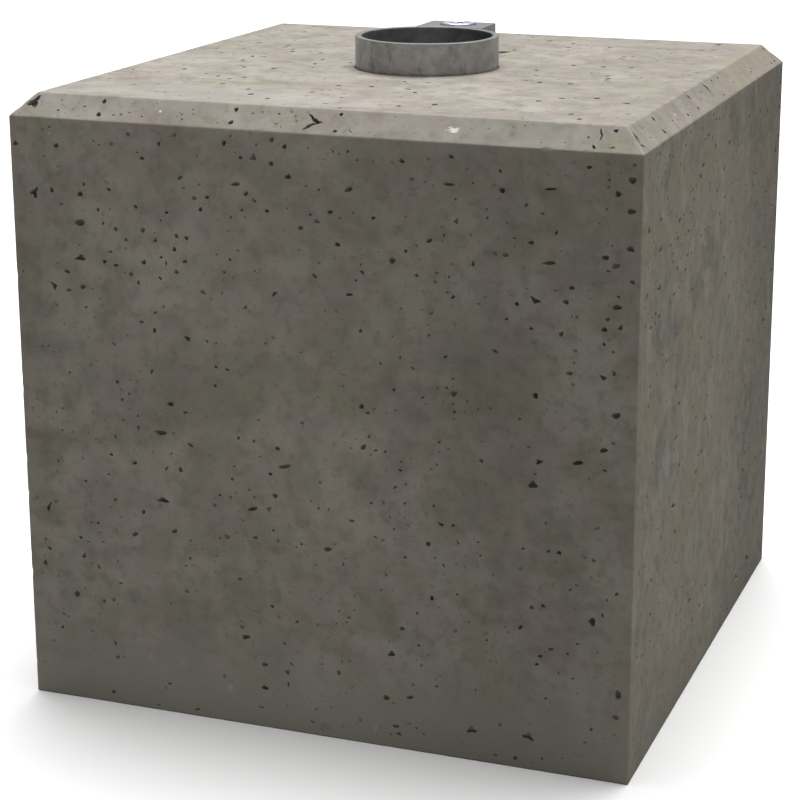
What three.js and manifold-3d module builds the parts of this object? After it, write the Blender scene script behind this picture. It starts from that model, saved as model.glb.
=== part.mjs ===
// A precast concrete foundation block for a sign post.
// A steel sleeve that takes the post is cast into the middle of the block and stands a little proud of it.
// Behind the sleeve, a steel lug is welded on. A socket-head screw is sunk in it, which clamps the post.
// Millimetres, +Z up. The origin is the middle of the underside, and the lug is on the +Y side.

import * as THREE from "three";
import { mergeVertices } from "three/addons/utils/BufferGeometryUtils.js";
import Module from "manifold-3d";

const wasm = await Module();
wasm.setup();

// Concrete block
const blockSide = 300;
const blockHeight = 296;
const topChamfer = 10;

// Post sleeve: a round tube whose foot is cast into the concrete round the post's seat
const sleeveDiameter = 71.5;
const sleeveWall = 3.25;
const sleeveProud = 15.8;
const sleeveEdge = 0.4;
const concreteUnderSleeve = 35;
const seatRise = 10; // how far the concrete that the post stands on rises in the sleeve's foot

// Clamp screw with a hexagon socket
const headDiameter = 17;
const headHeight = 10;
const headProud = 1;
const headEdge = 0.6;
const shankDiameter = 10;
const shankLength = 45;
const socketAcrossFlats = 8;
const socketDepth = 5;

// Clamp lug behind the sleeve
const lugWidth = 35;
const lugWall = 1.4;
const lugFoot = 14;
const lugCornerRadius = 2;
const weldLeg = 3;
const weldSetback = 1.5;

// Clearances
const headGap = 0.8;
const shankGap = 0.3;
const seatGap = 0.05; // under the screw's head
const jointGap = 0.3; // round what is cast in or welded on

// Facets of a full circle
const sleeveSegments = 96;
const screwSegments = 48;
const cornerSegments = 6;

const sleeveRadius = sleeveDiameter / 2;
const boreRadius = sleeveRadius - sleeveWall;
const sleeveTop = blockHeight + sleeveProud;
const counterboreDiameter = headDiameter + 2 * headGap;
const counterboreDepth = headHeight - headProud + seatGap;
const lugBack = sleeveRadius + jointGap + counterboreDiameter + 2 * lugWall;
const lugHeight = counterboreDepth + shankLength + shankGap + lugFoot;
const screwY = lugBack - lugWall - counterboreDiameter / 2;
const pastFace = 5; // how far a cutting tool runs past the face that it cuts

const concrete = new THREE.MeshStandardMaterial({ color: 0x8a867c, roughness: 0.95, metalness: 0 });
const galvanised = new THREE.MeshStandardMaterial({ color: 0x7d7d7a, roughness: 0.55, metalness: 0.7 });
const zincPlated = new THREE.MeshStandardMaterial({ color: 0xd4d4e0, roughness: 0.3, metalness: 0.9 });

// A closed geometry as a solid that can be cut and joined.
function solidFrom(geometry) {
  const bare = geometry.clone();
  bare.deleteAttribute("normal");
  bare.deleteAttribute("uv");
  const merged = mergeVertices(bare, 1e-3);
  return new wasm.Manifold(
    new wasm.Mesh({
      numProp: 3,
      vertProperties: new Float32Array(merged.attributes.position.array),
      triVerts: new Uint32Array(merged.index.array),
    }),
  );
}

// The solid's vertices and triangles as a flat-shaded geometry.
function geometryFrom(solid) {
  const mesh = solid.getMesh();
  const geometry = new THREE.BufferGeometry();
  geometry.setAttribute("position", new THREE.BufferAttribute(new Float32Array(mesh.vertProperties), 3));
  geometry.setIndex(new THREE.BufferAttribute(new Uint32Array(mesh.triVerts), 1));
  geometry.computeVertexNormals();
  return geometry;
}

// A solid of revolution about Z, from [radius, height] pairs that start and end on the axis.
function turned(profile, segments) {
  const lathe = new THREE.LatheGeometry(
    profile.map(([radius, height]) => new THREE.Vector2(radius, height)),
    segments,
  );
  return lathe.rotateX(Math.PI / 2);
}

// A round bar about a vertical axis through (0, y).
function bar(radius, low, high, segments, y = 0) {
  return turned([[0, low], [radius, low], [radius, high], [0, high]], segments).translate(0, y, 0);
}

// An outline in the XY plane, raised from low to high.
function raised(shape, low, high) {
  const geometry = new THREE.ExtrudeGeometry(shape, {
    depth: high - low,
    bevelEnabled: false,
    curveSegments: cornerSegments,
  });
  return geometry.translate(0, 0, low);
}

// The lug's outline seen from above. Its front reaches into the sleeve's place and is cut away there,
// and its two back corners are rounded.
function lugOutline(grow) {
  const half = lugWidth / 2 + grow;
  const back = lugBack + grow;
  const radius = lugCornerRadius + grow;
  const shape = new THREE.Shape();
  shape.moveTo(-half, 0);
  shape.lineTo(half, 0);
  shape.lineTo(half, back - radius);
  shape.absarc(half - radius, back - radius, radius, 0, Math.PI / 2, false);
  shape.lineTo(-half + radius, back);
  shape.absarc(-half + radius, back - radius, radius, Math.PI / 2, Math.PI, false);
  shape.closePath();
  return shape;
}

// The fillet weld in the corner between one side of the lug and the sleeve, seen from above.
function weldOutline(side) {
  const half = lugWidth / 2;
  const cornerAngle = Math.acos(half / sleeveRadius);
  const toeAngle = cornerAngle - weldLeg / sleeveRadius;
  const cornerY = sleeveRadius * Math.sin(cornerAngle);
  const buried = 1;
  const inner = sleeveRadius - buried;
  const points = [
    [half - buried, cornerY - buried],
    [inner * Math.cos(toeAngle), inner * Math.sin(toeAngle)],
    [sleeveRadius * Math.cos(toeAngle) + jointGap, sleeveRadius * Math.sin(toeAngle)],
    [half, cornerY + weldLeg],
    [half - buried, cornerY + weldLeg],
  ].map(([x, y]) => new THREE.Vector2(side * x, y));
  return new THREE.Shape(side > 0 ? points : points.reverse());
}

// The block: a square prism with its four top edges chamfered, less the hollow that the sleeve and lug fill.
function concreteBlock() {
  const half = blockSide / 2;
  const outline = new THREE.Shape();
  outline.moveTo(-half, 0);
  outline.lineTo(half, 0);
  outline.lineTo(half, blockHeight - topChamfer);
  outline.lineTo(half - topChamfer, blockHeight);
  outline.lineTo(-half + topChamfer, blockHeight);
  outline.lineTo(-half, blockHeight - topChamfer);
  outline.closePath();
  const alongY = new THREE.ExtrudeGeometry(outline, { depth: blockSide, bevelEnabled: false })
    .translate(0, 0, -half)
    .rotateX(Math.PI / 2);
  const alongX = alongY.clone().rotateZ(Math.PI / 2);
  const sleeveHollow = bar(
    sleeveRadius + jointGap,
    concreteUnderSleeve,
    blockHeight + pastFace,
    sleeveSegments,
  );
  const lugHollow = raised(lugOutline(jointGap), sleeveTop - lugHeight - jointGap, blockHeight + pastFace);
  const seatBase = concreteUnderSleeve - jointGap;
  const postSeat = bar(boreRadius - jointGap, seatBase, concreteUnderSleeve + seatRise, sleeveSegments);
  const prism = solidFrom(alongY).intersect(solidFrom(alongX));
  const hollowed = prism.subtract(solidFrom(sleeveHollow)).subtract(solidFrom(lugHollow));
  return geometryFrom(hollowed.add(solidFrom(postSeat)));
}

// The sleeve: a tube turned about Z, with its two edges broken at each end.
function postSleeve() {
  const low = concreteUnderSleeve + jointGap;
  return turned(
    [
      [boreRadius, low + sleeveEdge],
      [boreRadius + sleeveEdge, low],
      [sleeveRadius - sleeveEdge, low],
      [sleeveRadius, low + sleeveEdge],
      [sleeveRadius, sleeveTop - sleeveEdge],
      [sleeveRadius - sleeveEdge, sleeveTop],
      [boreRadius + sleeveEdge, sleeveTop],
      [boreRadius, sleeveTop - sleeveEdge],
      [boreRadius, low + sleeveEdge],
    ],
    sleeveSegments,
  );
}

// The lug: a block with two rounded corners and its two welds, fitted round the sleeve, bored for the screw.
function clampLug() {
  const low = sleeveTop - lugHeight;
  const body = solidFrom(raised(lugOutline(0), low, sleeveTop));
  const welds = [-1, 1].map((side) =>
    solidFrom(raised(weldOutline(side), blockHeight + jointGap, sleeveTop - weldSetback)),
  );
  const sleeveSpace = bar(sleeveRadius + jointGap, low - pastFace, sleeveTop + pastFace, sleeveSegments);
  const counterbore = bar(
    counterboreDiameter / 2,
    sleeveTop - counterboreDepth,
    sleeveTop + pastFace,
    screwSegments,
    screwY,
  );
  const shankHole = bar(shankDiameter / 2 + shankGap, low + lugFoot, sleeveTop, screwSegments, screwY);
  const welded = welds.reduce((whole, weld) => whole.add(weld), body);
  return geometryFrom(
    [sleeveSpace, counterbore, shankHole].reduce((whole, cut) => whole.subtract(solidFrom(cut)), welded),
  );
}

// The screw: a head with a chamfered edge and a hexagon socket, over a plain shank.
function clampScrew() {
  const headTop = sleeveTop + headProud;
  const headBottom = headTop - headHeight;
  const headRadius = headDiameter / 2;
  const shank = shankDiameter / 2;
  const body = turned(
    [
      [0, headBottom - shankLength],
      [shank, headBottom - shankLength],
      [shank, headBottom],
      [headRadius, headBottom],
      [headRadius, headTop - headEdge],
      [headRadius - headEdge, headTop],
      [0, headTop],
    ],
    screwSegments,
  );
  const acrossCorners = socketAcrossFlats / Math.cos(Math.PI / 6);
  const socket = bar(acrossCorners / 2, headTop - socketDepth, headTop + pastFace, 6);
  return geometryFrom(solidFrom(body).subtract(solidFrom(socket))).translate(0, screwY, 0);
}

function piece(name, geometry, material) {
  const mesh = new THREE.Mesh(geometry, material);
  mesh.name = name;
  return mesh;
}

const foundation = new THREE.Group();
foundation.add(
  piece("concrete_block", concreteBlock(), concrete),
  piece("post_sleeve", postSleeve(), galvanised),
  piece("clamp_lug", clampLug(), galvanised),
  piece("clamp_screw", clampScrew(), zincPlated),
);

export default foundation;
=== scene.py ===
# %% [markdown]
# # A foundation block for a sign post
# The object is a square block of cast concrete with a steel sleeve standing in it. A sign post
# slides into the sleeve, and a screw in a steel lug behind the sleeve clamps it.
# The true sizes come from the CAD model, which is loaded here as a frame that never moves. This
# script builds the surfaces that are seen: pored concrete, galvanised steel and a zinc-plated
# screw. Lengths are in millimetres until a mesh is made, because a maker thinks in them.

import bpy
import numpy as np
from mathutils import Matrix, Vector
from mathutils.geometry import delaunay_2d_cdt


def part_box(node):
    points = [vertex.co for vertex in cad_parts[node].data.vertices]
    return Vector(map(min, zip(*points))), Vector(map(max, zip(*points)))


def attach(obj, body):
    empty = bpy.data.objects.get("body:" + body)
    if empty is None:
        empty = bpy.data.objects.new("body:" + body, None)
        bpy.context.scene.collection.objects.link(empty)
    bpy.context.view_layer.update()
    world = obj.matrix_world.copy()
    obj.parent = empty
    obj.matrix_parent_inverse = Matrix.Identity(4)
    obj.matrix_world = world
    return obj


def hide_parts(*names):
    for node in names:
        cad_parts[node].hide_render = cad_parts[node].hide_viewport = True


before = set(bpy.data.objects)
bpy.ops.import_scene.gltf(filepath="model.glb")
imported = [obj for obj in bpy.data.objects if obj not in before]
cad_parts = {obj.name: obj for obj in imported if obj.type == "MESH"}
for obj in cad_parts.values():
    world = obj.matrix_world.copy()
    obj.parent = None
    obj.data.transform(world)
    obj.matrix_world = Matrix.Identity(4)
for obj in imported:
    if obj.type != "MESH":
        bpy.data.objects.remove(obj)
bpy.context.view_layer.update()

MM = 0.001

# %% [markdown]
# ## Sizes
# Most sizes that the frame holds are read from it: the box round a node gives the block's side and
# height, the sleeve's radius and top, and the lug's back; the lug's half width is named here. What a
# box can't tell, such as the chamfer, the sleeve's wall and the screw's head, is named here with the
# value that the CAD has.

# %% Sizes from the frame, and the few that it can't tell
def node_box(node):
    """The lowest and highest corner of a CAD node, in millimetres to the nearest hundredth."""
    return [np.round(np.array(corner) / MM, 2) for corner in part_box(node)]


block_low, block_high = node_box("concrete_block")
sleeve_low, sleeve_high = node_box("post_sleeve")
lug_low, lug_high = node_box("clamp_lug")
screw_low, screw_high = node_box("clamp_screw")

half_side = block_high[0]
block_top = block_high[2]
chamfer = 10.0
shoulder_height = block_top - chamfer

sleeve_radius = sleeve_high[0]
sleeve_top = sleeve_high[2]
sleeve_foot = sleeve_low[2]
sleeve_wall = 3.25
bore_radius = sleeve_radius - sleeve_wall
joint_gap = 0.3
seat_top = sleeve_foot - joint_gap + 10.0

screw_y = (screw_low[1] + screw_high[1]) / 2
head_radius = screw_high[0]
head_top = screw_high[2]
head_height = 10.0
shank_radius = 5.0
socket_flats = 8.0
socket_depth = 5.0
counterbore_radius = head_radius + 0.8
counterbore_floor = sleeve_top - 9.05
lug_half = 17.5
lug_back = lug_high[1]
lug_round = 2.0
print(f"block {2 * half_side:.0f} mm square and {block_top:.0f} mm high, sleeve {2 * sleeve_radius:.1f} mm")

# %% [markdown]
# ## Camera
# The photograph is taken from a little above, with the camera turned about 20 degrees to the right
# of the block's front. The edges of the block, which are straight and square in reality, give the
# place, the direction and the lens. The picture is cut out of a wider one, so the lens is shifted
# a little, as a view camera's would be.

# %% Camera
camera_place = Vector((0.3662, -1.0073, 0.4458))
camera_direction = Vector((-0.32854, 0.90837, -0.25871))
lens_mm = 97.80
shift_across = -0.04306
shift_up = -0.08545

camera_data = bpy.data.cameras.new("camera")
camera_data.sensor_fit = "HORIZONTAL"
camera_data.sensor_width = 36.0
camera_data.lens = lens_mm
camera_data.shift_x = shift_across
camera_data.shift_y = shift_up
camera = bpy.data.objects.new("camera", camera_data)
camera.location = camera_place
camera.rotation_euler = camera_direction.to_track_quat("-Z", "Y").to_euler()
bpy.context.scene.collection.objects.link(camera)
bpy.context.scene.camera = camera
print("camera", [round(value, 3) for value in camera_place], "lens", lens_mm)

# %% [markdown]
# ## Light
# The block is lit from above: its top is four times as bright as its front, and what light the
# front has comes back up from the pale floor. So there is one broad sun, almost overhead and
# tilted a little to the back, one weak fill from the front, and a large floor. The sky gives
# little. Floor and sky are paler to the camera than to the block, so that the ground stays plain
# and light without flooding the block's sides.

# %% Sizes and strengths of the studio
sun_strength = 7.1
sun_tilt_back = np.radians(12)
sun_width = np.radians(50)
fill_strength = 0.32
fill_height = np.radians(14)
fill_width = np.radians(60)
sky_strength = 0.10
floor_shade = (0.42, 0.42, 0.395, 1)
floor_seen = (0.62, 0.62, 0.62, 1)
floor_reach = 8.0

print("sun", sun_strength, "fill", fill_strength, "sky", sky_strength)

# %% Floor
floor_mesh = bpy.data.meshes.new("studio_floor")
floor_corners = [(-floor_reach, -floor_reach, 0), (floor_reach, -floor_reach, 0),
                 (floor_reach, floor_reach, 0), (-floor_reach, floor_reach, 0)]
floor_mesh.from_pydata(floor_corners, [], [(0, 1, 2, 3)])
floor = bpy.data.objects.new("studio_floor", floor_mesh)
floor_paint = bpy.data.materials.new("floor_paint")
floor_paint.use_nodes = True
floor_nodes = floor_paint.node_tree.nodes
floor_shader = floor_nodes["Principled BSDF"]
floor_view = floor_nodes.new("ShaderNodeLightPath")
floor_mix = floor_nodes.new("ShaderNodeMix")
floor_mix.data_type = "RGBA"
floor_mix.inputs[6].default_value = floor_shade
floor_mix.inputs[7].default_value = floor_seen
floor_paint.node_tree.links.new(floor_view.outputs["Is Camera Ray"], floor_mix.inputs[0])
floor_paint.node_tree.links.new(floor_mix.outputs[2], floor_shader.inputs["Base Color"])
floor_shader.inputs["Roughness"].default_value = 0.9
floor_mesh.materials.append(floor_paint)
print("floor", 2 * floor_reach, "m wide")


# %% Lights and sky
def studio_sun(name, strength, width, towards):
    """A sun lamp of that strength and angular width that shines from the direction given."""
    lamp = bpy.data.lights.new(name, "SUN")
    lamp.energy = strength
    lamp.angle = width
    sun = bpy.data.objects.new(name, lamp)
    sun.rotation_euler = Vector(towards).to_track_quat("Z", "Y").to_euler()
    return sun


overhead = studio_sun("overhead", sun_strength, sun_width, (0, np.sin(sun_tilt_back), np.cos(sun_tilt_back)))
fill = studio_sun("fill", fill_strength, fill_width, (0.42, -1.0, np.sin(fill_height)))
for thing in (floor, overhead, fill):
    bpy.context.scene.collection.objects.link(thing)

world = bpy.data.worlds.new("studio")
world.use_nodes = True
bpy.context.scene.world = world
sky_nodes = world.node_tree.nodes
sky = sky_nodes["Background"]
seen = sky_nodes.new("ShaderNodeLightPath")
sky_mix = sky_nodes.new("ShaderNodeMapRange")
sky_mix.inputs["To Min"].default_value = sky_strength
sky_mix.inputs["To Max"].default_value = 1.0
sky.inputs["Color"].default_value = (1, 1, 1, 1)
world.node_tree.links.new(seen.outputs["Is Camera Ray"], sky_mix.inputs["Value"])
world.node_tree.links.new(sky_mix.outputs["Result"], sky.inputs["Strength"])
bpy.context.scene.view_settings.view_transform = "Standard"
print("lit by", overhead.name, "and", fill.name)

# %% [markdown]
# ## Tools for surfaces
# Every new surface is a sheet of points worked out at once with numpy. Three small tools serve all
# of them: soft noise for anything that wavers, faces for a grid of points, and a maker that joins
# several sheets into one closed mesh wherever they share a point.

# %% Soft noise
def soft_noise(points, size, seed):
    """A random number at each corner of a lattice of cubes of this size, blended smoothly between
    the eight corners round each point. It runs from -1 to 1, and repeats after 32 cubes."""
    table = np.random.default_rng(seed).uniform(-1, 1, (32, 32, 32))
    place = np.asarray(points, float) / size
    cell = np.floor(place).astype(int)
    inside = place - cell
    inside = inside * inside * (3 - 2 * inside)
    total = np.zeros(len(place))
    for corner in np.ndindex(2, 2, 2):
        share = np.prod(np.where(corner, inside, 1 - inside), axis=1)
        x, y, z = ((cell + corner) % 32).T
        total += share * table[x, y, z]
    return total


def line_noise(along, size, seed):
    """Soft noise along one line: the lattice is read at that distance, on a row picked by the seed."""
    along = np.asarray(along, float)
    row = np.full(along.size, seed * 3.7)
    return soft_noise(np.column_stack([along.ravel(), row * size, row]), size, 5).reshape(along.shape)


print("noise at three places:", line_noise([0, 5, 10], 4, 1).round(2))


# %% Faces of a grid, a fan and a capped tube
def grid_faces(rows, columns, close_columns=False, close_rows=False):
    """Two triangles for each cell of a grid of points that is stored row by row. Seen from outside,
    columns run to the right and rows run up. A closed direction comes back to its first line."""
    index = np.arange(rows * columns).reshape(rows, columns)
    if close_columns:
        index = np.hstack([index, index[:, :1]])
    if close_rows:
        index = np.vstack([index, index[:1]])
    a, b = index[:-1, :-1].ravel(), index[:-1, 1:].ravel()
    c, d = index[1:, 1:].ravel(), index[1:, :-1].ravel()
    return np.vstack([np.column_stack([a, b, c]), np.column_stack([a, c, d])])


def fan_faces(ring, centre):
    """Triangles from each pair of neighbours on a closed ring of point numbers to the centre."""
    ring = np.asarray(ring)
    return np.column_stack([ring, np.roll(ring, -1), np.full(len(ring), centre)])


def capped(points, columns, last, first=None):
    """Closed rows of points, one above the other, with a fan from the last row to one more point,
    and one from the first row to another point if that is given. Gives all points and faces."""
    many = len(points)
    faces = [grid_faces(many // columns, columns, True), fan_faces(np.arange(many - columns, many), many)]
    ends = [last]
    if first is not None:
        ends.append(first)
        faces.append(fan_faces(np.arange(columns)[::-1], many + 1))
    return np.vstack([points, ends]), np.vstack(faces)


print("4 rows of 6 points and one cap:", len(capped(np.zeros((24, 3)), 6, (0, 0, 0))[1]), "triangles")


# %% A maker of closed meshes
class Sheets:
    """Sheets of points and triangles that are joined, wherever points coincide, into one mesh."""

    def __init__(self, *marks):
        self.marks = {mark: [] for mark in marks}
        self.points = []
        self.faces = []
        self.count = 0

    def add(self, points, faces, **marks):
        points = np.asarray(points, float)
        self.points.append(points)
        self.faces.append(np.asarray(faces) + self.count)
        self.count += len(points)
        for mark, values in self.marks.items():
            values.append(np.broadcast_to(marks.get(mark, 0.0), len(points)))

    def piece(self, name, crease):
        """Joins equal points, drops faces that have lost a corner, writes the mesh in metres with
        its marks as attributes, and keeps edges sharper than the crease angle sharp."""
        points = np.vstack(self.points)
        kept, first, place = np.unique(points, axis=0, return_index=True, return_inverse=True)
        faces = place.ravel()[np.vstack(self.faces)]
        whole = (faces[:, 0] != faces[:, 1]) & (faces[:, 1] != faces[:, 2]) & (faces[:, 2] != faces[:, 0])
        mesh = bpy.data.meshes.new(name)
        mesh.from_pydata((kept * MM).tolist(), [], faces[whole].tolist())
        for mark, values in self.marks.items():
            layer = mesh.attributes.new(mark, "FLOAT", "POINT")
            layer.data.foreach_set("value", np.concatenate(values)[first].astype(np.float32))
        mesh.validate()
        mesh.shade_smooth()
        mesh.set_sharp_from_angle(angle=np.radians(crease))
        thing = bpy.data.objects.new(name, mesh)
        bpy.context.scene.collection.objects.link(thing)
        sides = np.bincount(edge_numbers(mesh), minlength=len(mesh.edges))
        print(f"{name}: {len(mesh.polygons)} triangles, {np.sum(sides != 2)} open edges")
        return thing


def edge_numbers(mesh):
    """The edge that each corner of each face starts, as one array."""
    numbers = np.zeros(len(mesh.loops), np.int32)
    mesh.loops.foreach_get("edge_index", numbers)
    return numbers


# %% [markdown]
# ## The concrete block: its form
# The block is cast upside down in a steel mould and struck when it has set. That leaves flat sides,
# four chamfers round the top, edges with a radius of half a millimetre that waver and are chipped
# here and there, and some two thousand air pores that stayed against the mould.
# A boolean of spheres could cut the pores, but it is slow and leaves bad faces. Here each of the
# ten flat panels is a sheet of triangles that is laid out in the plane round the pores' outlines.
# The points inside an outline are then pushed into the block, which makes each pore a real bowl.

# %% Corners, panels and arrises of the block
around = ((-1, -1), (1, -1), (1, 1), (-1, 1))
side_names = ("front", "right", "back", "left")
corners = {}
panels = {}
for number, (x, y) in enumerate(around):
    narrow = half_side - chamfer
    corners["foot", number] = np.array([x * half_side, y * half_side, block_low[2]])
    corners["shoulder", number] = np.array([x * half_side, y * half_side, shoulder_height])
    corners["rim", number] = np.array([x * narrow, y * narrow, block_top])
for number, side in enumerate(side_names):
    after = (number + 1) % 4
    panels[side] = [("foot", number), ("foot", after), ("shoulder", after), ("shoulder", number)]
    panels[side + "_chamfer"] = [("shoulder", number), ("shoulder", after), ("rim", after), ("rim", number)]
panels["top"] = [("rim", number) for number in range(4)]
panels["underside"] = [("foot", number) for number in (3, 2, 1, 0)]


def unit(vector):
    """The vector at a length of one."""
    return vector / np.linalg.norm(vector)


def each_unit(vectors):
    """Each row of an array at a length of one."""
    return vectors / np.linalg.norm(vectors, axis=1)[:, None]


def leftward(line):
    """The direction to the left of a closed line at each of its points: its way from the point
    before to the point after, turned by a right angle."""
    way = each_unit(np.roll(line, -1, axis=0) - np.roll(line, 1, axis=0))
    return np.column_stack([-way[:, 1], way[:, 0]])


def at_height(line, height):
    """A line in the plane lifted to that height."""
    return np.column_stack([line, np.full(len(line), height)])


def panel_axes(name):
    """The panel's first corner, its direction to the right, its direction up and its outward one."""
    first, second, third = (corners[key] for key in panels[name][:3])
    right = unit(second - first)
    outward = unit(np.cross(second - first, third - second))
    return first, right, np.cross(outward, right), outward


arrises = {}
for name, keys in panels.items():
    for start, end in zip(keys, keys[1:] + keys[:1]):
        if (end, start) in arrises:
            arrises[end, start].append(name)
        else:
            arrises[start, end] = [name]
print(len(panels), "panels and", len(arrises), "arrises")

# %% [markdown]
# ## The arrises
# An arris is the edge between two panels. The mould gives it a small radius, and handling knocks
# chips off it. Each panel therefore stops short of the true edge by a distance that changes along
# it, and a strip with one row of points along its middle closes the gap: on a round part the middle
# lies on the arc, in a chip it lies on or below the straight cut.

# %% How far each arris is broken back
cast_radius = 0.45
arris_step = 1.8
guard_width = 0.45
chip_spacing = 24
chip_random = np.random.default_rng(41)
chips = {}
for key in arrises:
    length = np.linalg.norm(corners[key[1]] - corners[key[0]])
    many = int(length / chip_spacing)
    deepest = 0.25 if key[0][0] == "foot" else 0.5
    chips[key] = list(zip(chip_random.uniform(4, max(length - 4, 5), many),
                          chip_random.lognormal(0.35, 0.45, many),
                          chip_random.uniform(0.1, deepest, many)))
mitre_chips = {0: (10.2, 2.6, 0.9), 2: (12.0, 3.0, 1.0)}
for key in arrises:
    if {key[0][0], key[1][0]} == {"shoulder", "rim"}:
        corner = key[0][1]
        chips[key] = [mitre_chips[corner]] if corner in mitre_chips else []


def broken_back(key, panel, along):
    """The panel's distance from the true edge: the cast radius, a slow and a fine waver, and for
    each chip a parabola as long and as deep as the chip."""
    seed = list(arrises).index(key) * 2 + arrises[key].index(panel)
    along = np.asarray(along, float)
    back = cast_radius * (1 + 0.25 * line_noise(along, 14, seed) + 0.3 * line_noise(along, 2.7, seed + 40))
    lean = 1 + 0.4 * line_noise(along, 3.5, seed + 80)
    for centre, reach, depth in chips[key]:
        back = back + depth * lean * np.clip(1 - ((along - centre) / reach) ** 2, 0, 1)
    return back


# %% Panel corners
panel_corner = {}
for name, keys in panels.items():
    for before, here, after in zip(keys[-1:] + keys[:-1], keys, keys[1:] + keys[:1]):
        sides = []
        for start, end in ((before, here), (here, after)):
            key = (start, end) if (start, end) in arrises else (end, start)
            whole = np.linalg.norm(corners[end] - corners[start])
            at_start = (key[0] == here)
            sides.append(float(broken_back(key, name, [0.0 if at_start else whole])[0]))
        back = unit(corners[before] - corners[here])
        ahead = unit(corners[after] - corners[here])
        sine = np.linalg.norm(np.cross(back, ahead))
        panel_corner[name, here] = corners[here] + (sides[1] * back + sides[0] * ahead) / sine

print(len(panel_corner), "corners of panels")

# %% Rows along the arrises and their strips
block = Sheets("hollow", "edge")
arris_rows = {}
arris_ends = {}
for key, (first, second) in arrises.items():
    start, end = corners[key[0]], corners[key[1]]
    along = unit(end - start)
    low = max((panel_corner[name, key[0]] - start) @ along for name in (first, second)) + 0.5
    high = min((panel_corner[name, key[1]] - start) @ along for name in (first, second)) - 0.5
    place = np.linspace(low, high, max(3, int((high - low) / arris_step)))
    inward = [np.cross(panel_axes(first)[3], along), np.cross(along, panel_axes(second)[3])]
    backs = []
    for name, direction in zip((first, second), inward):
        back = broken_back(key, name, place)
        row = start + np.outer(place, along) + np.outer(back, direction)
        arris_rows[key, name] = np.vstack([panel_corner[name, key[0]], row, panel_corner[name, key[1]]])
        backs.append(back)
    back = np.mean(backs, axis=0)
    half_turn = np.arccos(np.clip(panel_axes(first)[3] @ panel_axes(second)[3], -1, 1)) / 2
    on_arc = back / np.tan(half_turn) * (1 / np.cos(half_turn) - 1)
    on_cut = back * np.sin(half_turn) * (1.02 + 0.12 * line_noise(place, 1.9, 7))
    chipped = np.clip(back / cast_radius - 1.3, 0, 1)
    sunk = on_arc + (on_cut - on_arc) * chipped
    middle = start + np.outer(place, along) + np.outer(sunk, unit(inward[0] + inward[1]))
    ends = []
    for corner, depth in ((key[0], sunk[0]), (key[1], sunk[-1])):
        reached = np.mean([(panel_corner[name, corner] - start) @ along for name in (first, second)])
        ends.append(start + reached * along + depth * unit(inward[0] + inward[1]))
        arris_ends.setdefault(corner, []).append(ends[-1])
    strip = np.vstack([arris_rows[key, second], ends[0], middle, ends[1], arris_rows[key, first]])
    columns = len(place) + 2
    edge_mark = np.repeat([0.35, 1.0, 0.35], columns)
    # The hollow mark paints shade into the deepest chips.
    deep = np.zeros(3 * columns)
    deep[columns + 1:2 * columns - 1] = np.clip(back / cast_radius - 3, 0, 1)
    block.add(strip, grid_faces(3, columns), edge=edge_mark, hollow=deep)
print("strips along the arrises:", block.count, "points")

# %% Caps on the corners
for corner, ends in arris_ends.items():
    rim = ends + [place for (name, key), place in panel_corner.items() if key == corner]
    rim = np.array(rim)
    outward = unit(corners[corner] - np.array([0, 0, block_top / 2]))
    level = unit(np.cross(outward, (0, 0, 1)))
    middle = rim.mean(axis=0)
    turn = np.arctan2((rim - middle) @ np.cross(outward, level), (rim - middle) @ level)
    rim = rim[np.argsort(turn)]
    crown = middle + 0.2 * (corners[corner] - middle)
    block.add(np.vstack([rim, crown]), fan_faces(np.arange(len(rim)), len(rim)), edge=1.0)
print(len(arris_ends), "corner caps")

# %% [markdown]
# ## The pores
# Air that can't escape stays as bubbles against the mould. Most are about a millimetre across, a
# few reach six, and where the mix was worked less they lie closer together. They are seldom round:
# the mix creeps while it sets and draws them out along one direction, here nearly level.
# Each pore is an oval with two or three soft lobes. The bowl of a small one has one inner ring, and
# that of a large one has two and an outline of more points.

# %% Outlines and bowls of pores
large_pore = 1.9
ring_scales = (1.0, 0.84, 0.5)
ring_shares = (0.0, 0.55, 0.93)


def pore_rings(pores, seed, outline_points):
    """For each pore (across, up, length, width, turn, lobes): an oval whose radius is one plus a
    two-lobed and a three-lobed wave, at three scales from the outline inwards. Gives the points as
    pore by ring by point, the depth of each pore, and how strongly its painted shade shows: small
    ones are often shallow and faint."""
    random = np.random.default_rng(seed)
    pores = np.asarray(pores, float)
    across, up, length, width, turn, lobes = pores.T[:, :, None]
    angle = np.linspace(0, 2 * np.pi, outline_points, endpoint=False)[None, :]
    phase = random.uniform(0, 2 * np.pi, (2, len(pores), 1))
    radius = 1 + 0.10 * np.cos(2 * angle + phase[0]) + lobes * np.cos(3 * angle + phase[1])
    radius = radius + random.uniform(-0.09, 0.09, radius.shape)
    strength = np.clip(random.uniform(0.3, 1.3, len(pores)) + 0.25 * (length[:, 0] - 2.0), 0.3, 1.0)
    depth = np.clip(width[:, 0] * random.uniform(0.4, 0.85, len(pores)), 0.35, 2.2) * strength
    lean, tilt = np.cos(np.radians(turn)), np.sin(np.radians(turn))
    rings = []
    for scale in ring_scales:
        x = 0.5 * length * scale * radius * np.cos(angle)
        y = 0.5 * width * scale * radius * np.sin(angle)
        rings.append(np.stack([across + x * lean - y * tilt, up + x * tilt + y * lean], axis=-1))
    return np.stack(rings, axis=1), depth, strength


print("a pore 4 mm long, with rings by points:", pore_rings([(0, 0, 4, 2, 0, 0.1)], 1, 14)[0].shape[1:3])


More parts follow.
